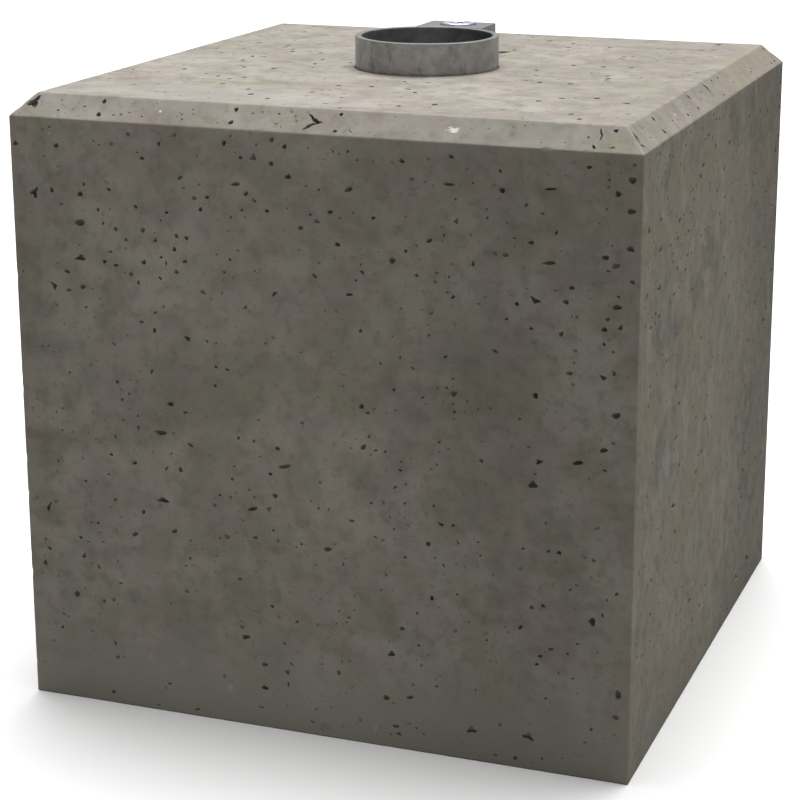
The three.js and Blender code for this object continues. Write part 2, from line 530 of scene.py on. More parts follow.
# %% Where the pores lie
def scatter_pores(size, many, seed, keep, blocked=None, usual=1.45):
    """Pores thrown at random on a panel of that size, larger ones first: lengths are log-normal
    about the usual one, a slow noise thins them out in places, and one that would touch a pore already
    there, or a blocked place, is left out. Kept ones, which are given, come first."""
    random = np.random.default_rng(seed)
    tries = many * 5
    across = random.uniform(2.5, size[0] - 2.5, tries)
    up = random.uniform(2.5, max(size[1] - 2.5, 3.0), tries)
    crowd = soft_noise(np.column_stack([across, up, np.full(tries, seed * 9.0)]), 38, seed)
    length = np.minimum(np.sort(random.lognormal(np.log(usual), 0.38, tries))[::-1], 3.3)
    width = length / random.uniform(1.0, 2.1, tries)
    turn = random.normal(12, 38, tries)
    lobes = np.where(random.uniform(size=tries) < 0.25, 0.25, 0.08)
    order = random.permutation(tries)[:many * 2]
    order = order[np.argsort(-length[order])]
    found = [tuple(pore) for pore in keep]
    places = np.array([pore[:2] for pore in found] or [(-99.0, -99.0)])
    reaches = np.array([pore[2] / 2 for pore in found] or [0.0])
    for k in order:
        if len(found) >= many + len(keep):
            break
        if random.uniform(-1, 1) > crowd[k] + 0.35:
            continue
        spot = np.array([across[k], up[k]])
        if np.any(np.linalg.norm(places - spot, axis=1) < (reaches + length[k] / 2) * 1.25 + 0.35):
            continue
        if blocked is not None and blocked(spot[None, :], length[k] / 2 + 0.8)[0]:
            continue
        found.append((*spot, length[k], width[k], turn[k], lobes[k]))
        places = np.vstack([places, spot])
        reaches = np.append(reaches, length[k] / 2)
    return np.array(found)


print("pores on a trial panel of 60 mm:", len(scatter_pores((60, 60), 30, 1, [])))


# %% [markdown]
# ## Cracks
# The upper edge has four cracks and chips where the young concrete was strained: a forked one and
# a short one on the front chamfer, a steep one and one at the corner on the right chamfer. The short
# and the steep one are grooves with a V-shaped section: the two lips follow a wavering path, and the
# path itself lies at the bottom. The other two have jagged outlines, which are drawn point by point.

# %% Grooves
def groove(path, widest, depth, seed):
    """A path is walked in steps of 0.7 mm and wavers sideways. Half the width swells from a point
    to its widest and back, as a sine, with noise. Gives the closed outline, then the path's
    inner points with their depth."""
    path = np.asarray(path, float)
    legs = np.linalg.norm(np.diff(path, axis=0), axis=1)
    mile = np.concatenate([[0], np.cumsum(legs)])
    walk = np.linspace(0, mile[-1], max(4, int(mile[-1] / 0.7)))
    line = np.column_stack([np.interp(walk, mile, path[:, k]) for k in (0, 1)])
    ahead = each_unit(np.gradient(line, axis=0))
    aside = np.column_stack([-ahead[:, 1], ahead[:, 0]])
    share = walk / mile[-1]
    swell = np.sin(np.pi * np.clip(share, 0, 1)) ** 0.6
    line = line + aside * (0.30 * swell * line_noise(walk, 1.6, seed))[:, None]
    half = widest / 2 * swell * (1 + 0.5 * line_noise(walk, 1.1, seed + 9)) + 0.02
    left, right = line + aside * half[:, None], line - aside * half[:, None]
    outline = np.vstack([line[:1], right[1:-1], line[-1:], left[-2:0:-1]])
    return outline, line[1:-1], depth * swell[1:-1]


def drawn_crack(outline, bottom):
    """A drawn crack: its jagged outline, and the places along its bottom with their depth,
    to which the midpoints are added. A shelf, three tenths of the way in and six tenths as deep,
    makes the walls steep."""
    outline, bottom = np.array(outline), np.array(bottom)
    bottom = np.vstack([bottom, (bottom[1:] + bottom[:-1]) / 2])
    apart = np.linalg.norm(outline[:, None, :] - bottom[None, :, :2], axis=2)
    nearest = bottom[np.argmin(apart, axis=1)]
    shelf = outline + 0.3 * (nearest[:, :2] - outline)
    return outline, np.vstack([bottom[:, :2], shelf]), np.concatenate([bottom[:, 2], 0.6 * nearest[:, 2]])


print("a trial groove of 9 mm:", len(groove([(0, 0), (9, 0)], 1.0, 1.0, 1)[0]), "points round it")


# %% [markdown]
# ## Filling a panel
# All points of a panel, with the outlines of its pores and grooves as fixed edges, go through one
# constrained Delaunay triangulation, which finds the best triangles for points in a plane. Then
# each point moves inwards: by its pore's depth, and by about a tenth of a millimetre of unevenness,
# because no cast face is truly flat.

# %% Triangles inside an outline
def runs_round(faces, first, many):
    """For triangles with all corners on one closed line of points: 1 if they follow it forwards, so
    they lie inside it, and -1 if backwards, in a dent outside it. 0 for all other triangles."""
    on_line = np.all((faces >= first) & (faces < first + many), axis=1)
    return np.where(on_line, np.sign(np.roll(faces, -1, axis=1) - faces).sum(axis=1), 0)


def triangulated(places, loops, border, hole):
    """Triangles over points in a plane, with the loops as fixed edges. The first points are the
    border, the next ones the rim of the hole, and triangles outside the one or in the other go."""
    edges = np.vstack([np.column_stack([loop, np.roll(loop, -1)]) for loop in loops])
    found = delaunay_2d_cdt([Vector(place) for place in places.tolist()], edges.tolist(),
                            [list(range(border))], 1, 1e-5, False)
    if len(found[0]) != len(places):
        extra = [tuple(round(value, 2) for value in place) for place in found[0][len(places):]]
        raise ValueError(f"two outlines touch near {extra}")
    faces = np.array(found[2])
    return faces[(runs_round(faces, 0, border) >= 0) & (runs_round(faces, border, hole) <= 0)]


square = np.array([(0, 0), (2, 0), (2, 2), (0, 2)], float)
print("a square in", len(triangulated(square, [np.arange(4)], 4, 0)), "triangles")


# %% The points of a panel
def panel_outline(name):
    """The rows along the panel's arrises, one after the other, as one closed line of points."""
    rows = []
    keys = panels[name]
    for start, end in zip(keys, keys[1:] + keys[:1]):
        forward = (start, end) in arrises
        row = arris_rows[(start, end) if forward else (end, start), name]
        rows.append((row if forward else row[::-1])[:-1])
    return np.vstack(rows)


def inner_row(line, width):
    """A closed line moved to its left by that width. A row of points so close inside a border keeps
    the round shading of the edge from running out over the flat triangles behind it."""
    return line + width * leftward(line)


def from_border(flat, name):
    """The distance of each point in the panel's plane from the panel's nearest true edge."""
    origin, right, up, _ = panel_axes(name)
    ends = [np.array([(corners[key] - origin) @ right, (corners[key] - origin) @ up]) for key in panels[name]]
    gaps = []
    for start, end in zip(ends, ends[1:] + ends[:1]):
        way = unit(end - start)
        gaps.append((flat - start) @ np.array([-way[1], way[0]]))
    return np.min(gaps, axis=0)


def loose_points(name, border, step, obstacles, inside_opening, random):
    """A grid over the panel with each point shifted at random by a quarter of a step, less those
    near the border, in the opening or near a pore or groove."""
    low, high = border.min(axis=0) + step * 0.6, border.max(axis=0) - step * 0.6
    steps = np.maximum(np.round((high - low) / step).astype(int), 1)
    x, y = np.meshgrid(np.linspace(low[0], high[0], steps[0] + 1), np.linspace(low[1], high[1], steps[1] + 1))
    grid = np.column_stack([x.ravel(), y.ravel()])
    grid += random.uniform(-step / 4, step / 4, grid.shape)
    clear = np.ones(len(grid), bool)
    for centres, reach in obstacles:
        for centre, radius in zip(centres, reach):
            clear &= np.sum((grid - centre) ** 2, axis=1) > radius ** 2
    away = np.min(np.linalg.norm(grid[:, None, :] - border[None, ::2, :], axis=2), axis=1)
    clear &= (away > 1.2) & (from_border(grid, name) > 1.2)
    if inside_opening is not None:
        clear &= ~inside_opening(grid, 1.5)
    return grid[clear]


print("outline of the front panel:", len(panel_outline("front")), "points")

# %% Filling a panel
# How dark the painted shade along a crack's bottom is.
crack_dark = 0.9
crack_reach = 1.6


def fill_panel(name, pores, grooves=(), step=5.0, opening=None, inside_opening=None, seed=0):
    """Lays out the panel's points, triangulates them, and sinks them into the block: each by its own
    depth, and by a slow and a fine soft noise, which grow from nothing over the first 6 mm."""
    origin, right, up, outward = panel_axes(name)
    random = np.random.default_rng(seed)
    flat, sink, dark, loops = [], [], [], []

    def flattened(points):
        return np.column_stack([(points - origin) @ right, (points - origin) @ up])

    def lay(points, depth=0.0, mark=0.0):
        """Adds points in the plane with their depth and their mark, and gives their numbers."""
        first = sum(len(part) for part in flat)
        flat.append(points)
        sink.append(np.broadcast_to(depth, len(points)))
        dark.append(np.broadcast_to(mark, len(points)))
        return np.arange(first, first + len(points))

    border = panel_outline(name)
    lay(flattened(border))
    exact = border
    guard = inner_row(flat[0], guard_width)
    if opening is not None:
        loops.append(lay(flattened(opening)))
        exact = np.vstack([border, opening])
        guard = np.vstack([guard, inner_row(flat[1][::-1], guard_width)])
    large = pores[:, 2] > large_pore
    for group, corners_each, inner_rings in ((pores[large], 14, (1, 2)), (pores[~large], 8, (1,))):
        rings, depth, strength = pore_rings(group, seed + corners_each, corners_each)
        loops += list(lay(rings[:, 0].reshape(-1, 2)).reshape(len(group), corners_each))
        lay(rings[:, 0].mean(axis=1), depth, strength)
        for ring in inner_rings:
            share = np.repeat(ring_shares[ring], corners_each)
            lay(rings[:, ring].reshape(-1, 2), np.outer(depth, share).ravel(),
                np.outer(strength, share).ravel())
    obstacles = [(pores[:, :2], pores[:, 2] / 2 * 1.3 + 0.4)]
    for outline, line, fall in grooves:
        loops.append(lay(outline))
        lay(line, fall, crack_dark)
        obstacles.append((line, np.full(len(line), crack_reach)))
    lay(np.vstack([guard, loose_points(name, flat[0], step, obstacles, inside_opening, random)]))
    flat, sink, dark = np.vstack(flat), np.concatenate(sink), np.concatenate(dark)
    faces = triangulated(flat, loops, len(border), 0 if opening is None else len(opening))
    edge_distance = from_border(flat, name)
    solid = origin + np.outer(flat[:, 0], right) + np.outer(flat[:, 1], up)
    uneven = 0.07 * (1 + soft_noise(solid, 34, 61)) + 0.025 * (1 + soft_noise(solid, 7, 62))
    calm = np.clip((edge_distance - 0.6) / 6, 0, 1)
    solid = solid - np.outer(sink + uneven * calm * calm * (3 - 2 * calm), outward)
    solid[:len(exact)] = exact
    block.add(solid, faces, hollow=dark, edge=np.where(edge_distance < 0.9, 0.35, 0.0) * (dark == 0))
    print(f"{name}: {len(pores)} pores, {len(faces)} triangles")


# %% [markdown]
# ## The four sides and the chamfers
# The larger pores that the photo shows are the block's own marks, so they are listed one by one:
# distance from the left edge, height, length, width, turn in degrees, and how strongly three lobes
# show. The two seen sides carry nearly the same pattern, so one list serves both of them, beside a
# list of each side's own. All other pores are scattered.

# %% Large pores of the front and the right side
def placed(*pores):
    """Pores given one by one: those without a turn are level, and those without lobes have few."""
    return [pore + (0, 0.1)[len(pore) - 4:] for pore in pores]


front_pores = placed(
    (113.7, 261.5, 4.4, 2.2, 10), (168, 262.7, 4.6, 2.2, 30), (214.5, 268, 5, 1.6, 0, 0),
    (260, 269, 5.6, 1.3, 5, 0), (260, 237, 6.5, 1.7, 8), (253.7, 220, 4.6, 2.6, 150, 0.3),
    (290, 220, 4, 2.6), (289, 238, 3.5, 2.6, 20), (34, 221.5, 5.4, 2.6, 10, 0.3),
    (11.5, 250.7, 4.8, 3.2, 60, 0.45), (20.5, 252.5, 3, 2, 90), (93, 253.7, 2.4, 2), (99.5, 254.5, 2.3, 1.9),
    (96, 248.7, 2.2, 1.9, 40), (66.7, 237, 2.7, 2.2), (66.7, 222, 2.6, 2.2), (87.5, 224, 2.4, 1.8, 20),
    (72.5, 141, 6.6, 2.3, 4), (135, 131.5, 6.4, 2, 12), (72.5, 107.7, 6.6, 2.2, -8, 0.2),
    (78, 155.5, 3.6, 2), (78, 93, 3, 2, 20), (82, 124, 2.9, 2.4, 80), (130, 116.7, 3, 2.4),
    (118.7, 109, 5.4, 1.8, 15), (156, 94, 4, 2.5, 20), (113.7, 44.5, 4, 2.5, 15), (123, 32, 3, 2.4),
    (226, 15, 4.2, 3.4, 30, 0.35), (253, 16, 4.8, 3.4, -20, 0.35), (189, 11, 3, 2), (282, 76, 4, 3.3, 80),
    (294.5, 43, 4.6, 3, 85), (293.5, 32, 3.2, 2.8), (285.5, 156, 3.6, 2.6, 10), (274, 149, 4.8, 2.4, 15),
    (253.7, 136.5, 4.8, 3.2, 10, 0.2), (11.2, 97, 4.6, 1.8, 70, 0.4),
)
shared_pores = placed(
    (84.2, 282, 2.8, 2, 30, 0.2), (108.5, 279.6, 2.5, 2.1, 80), (131.8, 282.6, 3, 2, 60, 0.2),
    (122.6, 274.1, 3.4, 2.7, 80, 0.3), (131.2, 271.8, 2.4, 2.1, 80), (137.7, 279.8, 2.6, 1.8, 10),
    (139.2, 266.5, 3, 2.3), (116.4, 273.6, 2.2, 1.5), (52.3, 276, 2.5, 1.9, 20), (67.5, 270.2, 2.2, 1.9),
    (76.2, 277.4, 2.1, 2, 80), (63.4, 247.6, 2.3, 2.1), (34.4, 238.2, 5.8, 3.2), (52.8, 236.6, 2.4, 2.1, 80),
    (57.9, 231.8, 1.9, 1.8), (57.8, 227.9, 2, 1.8), (73, 232.7, 2.3, 1.6, 80), (83.6, 235.6, 2.7, 2, 150),
    (88.6, 235, 2.2, 2), (83.1, 218.8, 2.6, 2, 140), (128.7, 250.3, 2.1, 1.8), (144.9, 243.9, 2.6, 2.2),
    (159.1, 252, 2.6, 2, 30), (19.6, 207.1, 3.8, 2.4, 130, 0.3), (34.6, 207.8, 3, 2.4),
    (63.6, 212.2, 2.2, 1.9, 90), (96.1, 210.5, 2.8, 2.1, 140), (162.4, 237.6, 2.7, 2.1),
    (296.2, 281.6, 2.4, 1.6), (295.4, 275, 4, 3.1, 20), (289.3, 268.8, 3.1, 2.6), (295.2, 261.8, 4, 2.6),
    (295.2, 245.7, 3.8, 2.6), (296.4, 231.6, 2.3, 2), (284.6, 209.8, 3, 2.1, 20),
    (269.6, 189.1, 3.2, 2.2, 10), (267.5, 220.5, 2.8, 2.2), (276.6, 279.4, 2.3, 1.9),
    (290.7, 172.1, 4.2, 3, 10), (35.2, 251.6, 3.1, 2.2, 20),
)
right_pores = placed(
    (113, 262, 5.4, 2.4, 5), (169, 263, 5.4, 2.6, 20), (215, 269, 5.6, 1.9, 5, 0), (34, 238.5, 5.4, 2.6, 5),
    (34, 221.5, 6, 2.7, 5, 0.2), (34, 252, 3.2, 2.2), (12, 251, 6, 2.8, 40, 0.4), (66, 237, 3, 2.2),
    (67, 223, 3, 2.2), (93, 254, 2.5, 2), (100, 255, 2.5, 2, 10), (96, 249, 2.6, 2),
    (87, 236, 4.4, 1.8, 0, 0), (86, 225, 4.6, 1.8, 10), (62.5, 212, 4.4, 1.9), (20, 207, 3.6, 2.2),
    (11, 210, 3.8, 2.4, 30, 0.2), (34.5, 208.5, 3.4, 2.4), (97.5, 206, 5.2, 1.5), (51, 184, 3, 1.8),
    (74, 141, 7, 2.4, 5), (79, 156, 4.2, 2.2), (82, 125, 3.4, 2.4), (73, 108, 7, 2.7, -8),
    (78, 93.5, 4.2, 2.4), (135.5, 132, 6.4, 2.3, 5), (130, 117, 4.4, 2.6, 10), (119, 110, 4.8, 1.8),
    (232, 122, 4.4, 2.8, 10), (114, 45, 5.2, 2.8, 15), (141, 40, 3.6, 2), (122, 32, 3.8, 2.4),
    (190, 12, 4.6, 2.6), (227, 15.5, 5, 3.4, 0, 0.3), (254.5, 17, 5.6, 3.4, -20, 0.35), (34, 68.5, 4.2, 2.5),
    (34, 85, 4.2, 2.6, 10), (11, 97, 4.6, 2.2, 50, 0.4), (11, 56.5, 4.8, 2.4, 30, 0.3), (20, 54, 3.4, 2.2),
    (35, 55, 3.4, 2.2), (96, 58.5, 3.8, 2, 10), (290, 239, 3.6, 3, 60), (291, 220.5, 4.4, 2.6),
    (171, 197, 3.8, 2.2), (181, 183, 3.8, 2, 20), (120, 177, 4.4, 1.8), (275, 148, 4.4, 2.8),
)
print("pores by hand on the sides:", len(front_pores), "front,", len(right_pores), "right,",
      len(shared_pores), "on both")

# %% Large pores of the top and the chamfers, and the cracks
top_pores = placed(
    (159.2, 203.6, 9.4, 5.6, 72, 0.2), (138.7, 67.5, 4, 2.4, 110), (208.7, 107.5, 3.6, 2.6, 80),
    (223.7, 107.5, 3.6, 2.6, 80), (207.5, 168.7, 3.6, 2.4, 70), (223, 168.7, 3.8, 2.6, 80),
    (237, 170, 3.4, 2.2, 60), (195, 146, 3.6, 2, 100), (236, 130, 5, 2.2, 70), (237.5, 122.5, 3.2, 2.2),
    (71, 107.5, 4.2, 2.8, 100), (55, 107.5, 3.4, 2.4, 90), (54.5, 168.7, 4.2, 2.6, 100), (70, 170, 3.2, 2.4),
    (42.5, 145, 4.8, 2, 110), (83.7, 130, 4.2, 2.4, 100), (81, 146, 3.4, 2.2, 80), (95, 27.5, 4.2, 3, 90),
    (184.5, 27.5, 4, 2.8, 90), (171, 18, 3.2, 2.4, 90), (107.5, 18, 3.2, 2.4, 90), (247.5, 69, 4.2, 2.8, 80),
    (264, 59, 3.4, 2.6), (225, 52.5, 3.8, 2.4, 80), (232.5, 64, 3.4, 2.4), (256, 11, 3.6, 2.4, 100),
    (249, 22.5, 3.4, 2.2, 90), (119, 42.5, 3.6, 2.4, 100), (164, 57.5, 3.8, 2.4, 100),
    (122.5, 66, 3.4, 2.6, 0, 0.2), (157.5, 66, 3.4, 2.6, 0, 0.2), (70, 75, 3.4, 2.4, 90),
    (56, 75, 3.4, 2.4, 90), (184, 249, 3.6, 2.4, 60), (87.5, 41, 3.6, 2.4, 90), (69, 52.5, 3.6, 2.4, 90),
    (44, 130, 3.8, 2.2, 100),
)
chamfer_pores = placed(
    (45.5, 10.8, 2.8, 2.2, 60), (45.1, 3.6, 2.8, 2.2, 120), (111.4, 10.7, 2.9, 2.1, 110, 0.15),
    (111, 3.7, 2.7, 2.1, 60), (24, 10, 1.5, 1.2), (24, 4.6, 1.4, 1.1), (90.6, 9.2, 1.3, 1.1),
    (132.5, 9.8, 1.6, 1.3), (132.5, 4.3, 1.6, 1.3), (161.6, 11.6, 2, 1.6), (161.2, 2.4, 2, 1.7),
    (274.6, 7.3, 1.3, 1.2), (277.9, 2.5, 2.4, 1.4, 110), (286, 2.6, 2.3, 1.6, 20, 0.2),
    (285.7, 11.4, 2.3, 1.8, 20, 0.2),
)
forked_crack = drawn_crack(
    [(145.2, 12.6), (146.6, 11.0), (148.3, 10.3), (149.6, 9.0), (151.2, 8.4), (152.2, 7.5), (154.5, 6.9),
     (152.7, 5.9), (151.2, 5.3), (149.6, 4.8), (148.8, 3.5), (147.8, 3.0), (146.6, 2.3), (145.7, 1.8),
     (146.0, 2.9), (146.8, 3.6), (147.4, 5.1), (148.9, 5.7), (149.9, 6.5), (149.3, 7.2), (148.3, 7.8),
     (147.8, 9.0), (146.7, 10.3)],
    [(146.9, 10.6, 0.6), (148.0, 9.6, 1.2), (149.3, 8.3, 1.6), (150.7, 7.4, 1.8), (152.3, 6.8, 1.2),
     (153.4, 6.9, 0.4), (150.9, 6.2, 1.7), (149.4, 5.3, 1.5), (148.2, 4.2, 1.2), (147.1, 3.1, 0.8),
     (146.3, 2.5, 0.4)])
short_crack = groove([(279.0, 12.4), (279.4, 10.2), (280.2, 8.4), (279.6, 5.6)], 1.0, 1.2, 6)
steep_crack = groove([(144.2, 12.6), (146.1, 10.6), (147.0, 8.8), (146.6, 6.7), (144.9, 4.7), (143.2, 3.0),
                      (141.8, 1.8)], 2.8, 1.8, 3)
mitre_crack = drawn_crack(
    [(10.6, 12.3), (10.3, 10.8), (10.0, 9.4), (10.5, 7.7), (9.3, 5.8), (8.5, 4.3), (9.9, 2.0),
     (7.6, 2.9), (5.9, 3.9), (5.6, 5.5), (6.9, 7.4), (8.2, 9.2), (9.5, 11.0)],
    [(9.7, 10.6, 0.6), (9.2, 9.2, 1.2), (8.7, 7.8, 1.8), (7.7, 6.2, 1.9), (7.0, 4.6, 1.6), (8.2, 3.2, 0.9)])
mitre_pore = (10.3, 8.3, 7.2, 4.4, 60, 0.42)
print("pores by hand:", len(top_pores), "on the top,", len(chamfer_pores) + 1, "on the chamfers")


# %% Fill the sides, the chamfers and the underside
side_size = (2 * half_side, shoulder_height)
slope = chamfer * np.sqrt(2)


def past_ends(places, reach):
    """True where a pore of that reach would cross an edge of a chamfer, whose ends are slanted: its
    length shrinks on either side by the height over the square root of two."""
    across, up = places.T
    beyond = np.minimum(across, 2 * half_side - across) < up / np.sqrt(2) + reach + 1
    return beyond | (np.abs(up - slope / 2) > slope / 2 - reach)


def near_cracks(cracks):
    """A test for places on a chamfer that lie on a crack or past the chamfer's ends."""
    lines = np.vstack([line for _, line, _ in cracks]) if cracks else np.full((1, 2), -99.0)

    def blocked(places, reach):
        apart = np.linalg.norm(places[:, None, :] - lines[None, :, :], axis=2).min(axis=1)
        return (apart < reach + crack_reach) | past_ends(places, reach)
    return blocked


def apart(pores, more):
    """Those of more pores that lie clear of all pores of the first list."""
    def clear(pore):
        return all(np.hypot(pore[0] - one[0], pore[1] - one[1]) > (pore[2] + one[2]) / 2 + 1 for one in pores)
    return [pore for pore in more if clear(pore)]


counts = {"front": 660, "right": 560, "back": 200, "left": 200}
by_hand = {"front": front_pores + shared_pores, "right": right_pores + apart(right_pores, shared_pores)}
chamfer_by_hand = {"front": chamfer_pores + [mitre_pore], "right": chamfer_pores}
chamfer_cracks = {"front": [forked_crack, short_crack], "right": [steep_crack, mitre_crack]}
for number, side in enumerate(side_names):
    pores = scatter_pores(side_size, counts[side], 100 + number, by_hand.get(side, []))
    fill_panel(side, pores, seed=200 + number)
    cracks = chamfer_cracks.get(side, [])
    pores = scatter_pores((2 * half_side, slope), 34, 120 + number, chamfer_by_hand.get(side, []),
                          near_cracks(cracks), 1.0)
    fill_panel(side + "_chamfer", pores, cracks, step=3.4, seed=220 + number)
pores = scatter_pores((2 * half_side, 2 * half_side), 90, 130, [])
fill_panel("underside", pores, step=9.0, seed=230)

# %% [markdown]
# ## The hollow round the steel
# The sleeve and the lug stood in the mould, so the concrete has taken their outline: a round hollow
# with a square notch behind it, like a keyhole. The hollow's outline is one closed line. It is
# both the opening in the top panel and the first row of a wall that goes down inside, ends in the
# seat that carries the post, and closes the mesh.

# %% Outline of the hollow
def square_back(half, front, back, bend, rise_points, bend_points, step):
    """Two lines: the right side with its rounded back corner, a quarter of a circle with the bend as
    its radius, and the back from right to left without its ends."""
    inner, high = half - bend, back - bend
    rise = np.linspace(front, high, rise_points)
    turn = np.linspace(0, np.pi / 2, bend_points)[1:]
    corner = np.column_stack([inner + bend * np.cos(turn), high + bend * np.sin(turn)])
    across = np.linspace(inner, -inner, int(2 * inner / step))[1:-1]
    side = np.vstack([np.column_stack([np.full(len(rise), half), rise]), corner])
    return side, np.column_stack([across, np.full(len(across), back)])


hollow_radius = sleeve_radius + joint_gap
notch_half = lug_half + joint_gap
notch_back = lug_back + joint_gap
notch_round = lug_round + joint_gap
top_origin = panel_axes("top")[0][:2]


def hollow_outline(step):
    """Counter-clockwise: the sleeve's arc from the notch's left side round the front to its right
    side, then the notch's right side, its back with two rounded corners, and its left side. The
    sides meet the arc where its cosine is half the notch's width over the radius."""
    meet = np.arccos(notch_half / hollow_radius)
    turn = np.linspace(np.pi - meet, 2 * np.pi + meet, int(hollow_radius * (np.pi + 2 * meet) / step))
    arc = hollow_radius * np.column_stack([np.cos(turn), np.sin(turn)])
    low = hollow_radius * np.sin(meet)
    rise_points = int((notch_back - notch_round - low) / step)
    side, back = square_back(notch_half, low, notch_back, notch_round, rise_points, 6, step)
    side = side[1:]
    return np.vstack([arc, side, back, (side * [-1, 1])[::-1]])


def inside_hollow(places, reach):
    """True for places, in the top panel's plane, that lie in the hollow or within reach of it."""
    x, y = (places + top_origin).T
    in_notch = (np.abs(x) < notch_half + reach) & (y > 0) & (y < notch_back + reach)
    return (np.hypot(x, y) < hollow_radius + reach) | in_notch


keyhole_step = 1.1
keyhole = hollow_outline(keyhole_step)
print("outline of the hollow:", len(keyhole), "points")

# %% The top panel, with the hollow as its opening
middle = np.array([0.0, 12.0])
walk = np.arange(len(keyhole)) * keyhole_step
lip = 0.16 + 0.16 * line_noise(walk, 4.0, 11)
opening = at_height(keyhole + each_unit(keyhole - middle) * lip[:, None], block_top)
top_side = 2 * (half_side - chamfer)


def top_blocked(places, reach):
    """True where a pore of that reach on the top would touch the hollow."""
    return inside_hollow(places, reach + 1.0)


pores = scatter_pores((top_side, top_side), 290, 140, top_pores, top_blocked, 1.55)
fill_panel("top", pores, opening=opening, inside_opening=inside_hollow, seed=240)

# %% The wall of the hollow, and the seat under the post
notch_floor = lug_low[2] - joint_gap
groove_floor = sleeve_foot - joint_gap
tube_space = sleeve_radius + 0.2
seat_radius = bore_radius - joint_gap
level_rows = [opening]
for height in (block_top - 0.5, block_top - 6, block_top - 24, notch_floor):
    level_rows.append(at_height(keyhole, height))
facing = np.arctan2(keyhole[:, 1], keyhole[:, 0])
ring = np.column_stack([np.cos(facing), np.sin(facing)])
for radius, height in ((tube_space, notch_floor), (tube_space, 170), (tube_space, groove_floor),
                       (seat_radius, groove_floor), (seat_radius, seat_top - 1.0),
                       (seat_radius - 0.4, seat_top - 0.2), (seat_radius - 1.4, seat_top),
                       (22, seat_top), (11, seat_top)):
    level_rows.append(at_height(ring * radius, height))
block.add(*capped(np.vstack(level_rows), len(ring), (0, 0, seat_top)))
concrete_block = block.piece("cast_block", 50)

# %% [markdown]
# ## The sleeve
# The sleeve is a length of steel tube, sawn off square and hot-dip galvanised. The zinc ran down
# while it was liquid, so the wall carries shallow vertical runs, and the sawn rim waves by a tenth
# of a millimetre under a soft edge. It is turned as one profile: up the outside, over the rim,
# down the bore and back, closed both ways round.

# %% Turned surfaces
def turned_grid(profile, columns, centre_y=0.0):
    """A profile of (radius, height) carried round the vertical: one row of points for each point of
    the profile. Gives the points and the angle of each."""
    angle = np.linspace(0, 2 * np.pi, columns, endpoint=False)
    radius, height = np.asarray(profile, float).T
    x = radius[:, None] * np.cos(angle)
    y = radius[:, None] * np.sin(angle) + centre_y
    z = np.repeat(height[:, None], columns, axis=1)
    return np.stack([x, y, z], axis=-1).reshape(-1, 3), np.tile(angle, len(radius))


def rounded(corner, radius, start, steps=5):
    """Points on a quarter of a circle, from the start angle in degrees anticlockwise, that round off
    a corner of a profile. The corner given is the circle's centre."""
    turn = np.radians(start + np.linspace(0, 90, steps))
    return [(corner[0] + radius * np.cos(t), corner[1] + radius * np.sin(t)) for t in turn]


print("a rounded corner:", np.round(rounded((10, 5), 1, 0, 3), 2).tolist())


# %% Build the sleeve
rim_round = 0.45
below_rim = sleeve_top - 1.2
outer_levels = np.concatenate([[sleeve_foot + 60, 200, 270], np.linspace(block_top - 4, below_rim, 22)])
bore_levels = np.concatenate([np.linspace(below_rim, 262, 26), [230, 190, 140, sleeve_foot + 40]])
sleeve_profile = (
    [(sleeve_radius, sleeve_foot + 0.4)] + [(sleeve_radius, z) for z in outer_levels]
    + rounded((sleeve_radius - rim_round, sleeve_top - rim_round), rim_round, 0)
    + [(bore_radius + 0.5 * sleeve_wall, sleeve_top)]
    + rounded((bore_radius + rim_round, sleeve_top - rim_round), rim_round, 90)
    + [(bore_radius, z) for z in bore_levels]
    + [(bore_radius, sleeve_foot + 0.4), (bore_radius + 0.4, sleeve_foot), (sleeve_radius - 0.4, sleeve_foot)]
)
sleeve_columns = 216
points, angle = turned_grid(sleeve_profile, sleeve_columns)
radius = np.hypot(points[:, 0], points[:, 1])
runs = soft_noise(np.column_stack([points[:, 0], points[:, 1], points[:, 2] * 0.16]), 4.2, 21)
sag = soft_noise(points, 9.0, 22)
outside = radius > bore_radius + 0.5 * sleeve_wall
relief = np.where(outside, -0.06 + 0.05 * runs + 0.03 * sag, 0.06 + 0.06 * runs + 0.03 * sag)
points[:, :2] *= (1 + relief / radius)[:, None]
near_rim = np.clip((points[:, 2] - (sleeve_top - 2)) / 2, 0, 1)
points[:, 2] -= near_rim * 0.06 * (1 + line_noise(angle * sleeve_radius, 13, 23))
rim_mark = np.clip((points[:, 2] - (sleeve_top - 0.55)) / 0.4, 0, 1)
sleeve = Sheets("edge", "bore")
bore_mark = np.where(outside, 0.0, 1.0 - rim_mark)
sleeve.add(points, grid_faces(len(sleeve_profile), sleeve_columns, True, True), edge=rim_mark, bore=bore_mark)
post_sleeve = sleeve.piece("galvanised_sleeve", 50)

# %% [markdown]
# ## The lug
# The lug is a bar of steel, 35 mm wide, that follows the sleeve in front and is welded to it on both
# sides. Its back corners and its top edge are rounded. A flat-bottomed bore takes the screw's head.
# The outline is carried up as a wall and turned over the edge, the top is triangulated round the
# bore, and each weld is a bead whose ripples are the steps in which it was laid.

# %% Outline of the lug
lug_front = sleeve_radius + joint_gap
lug_edge = 0.45


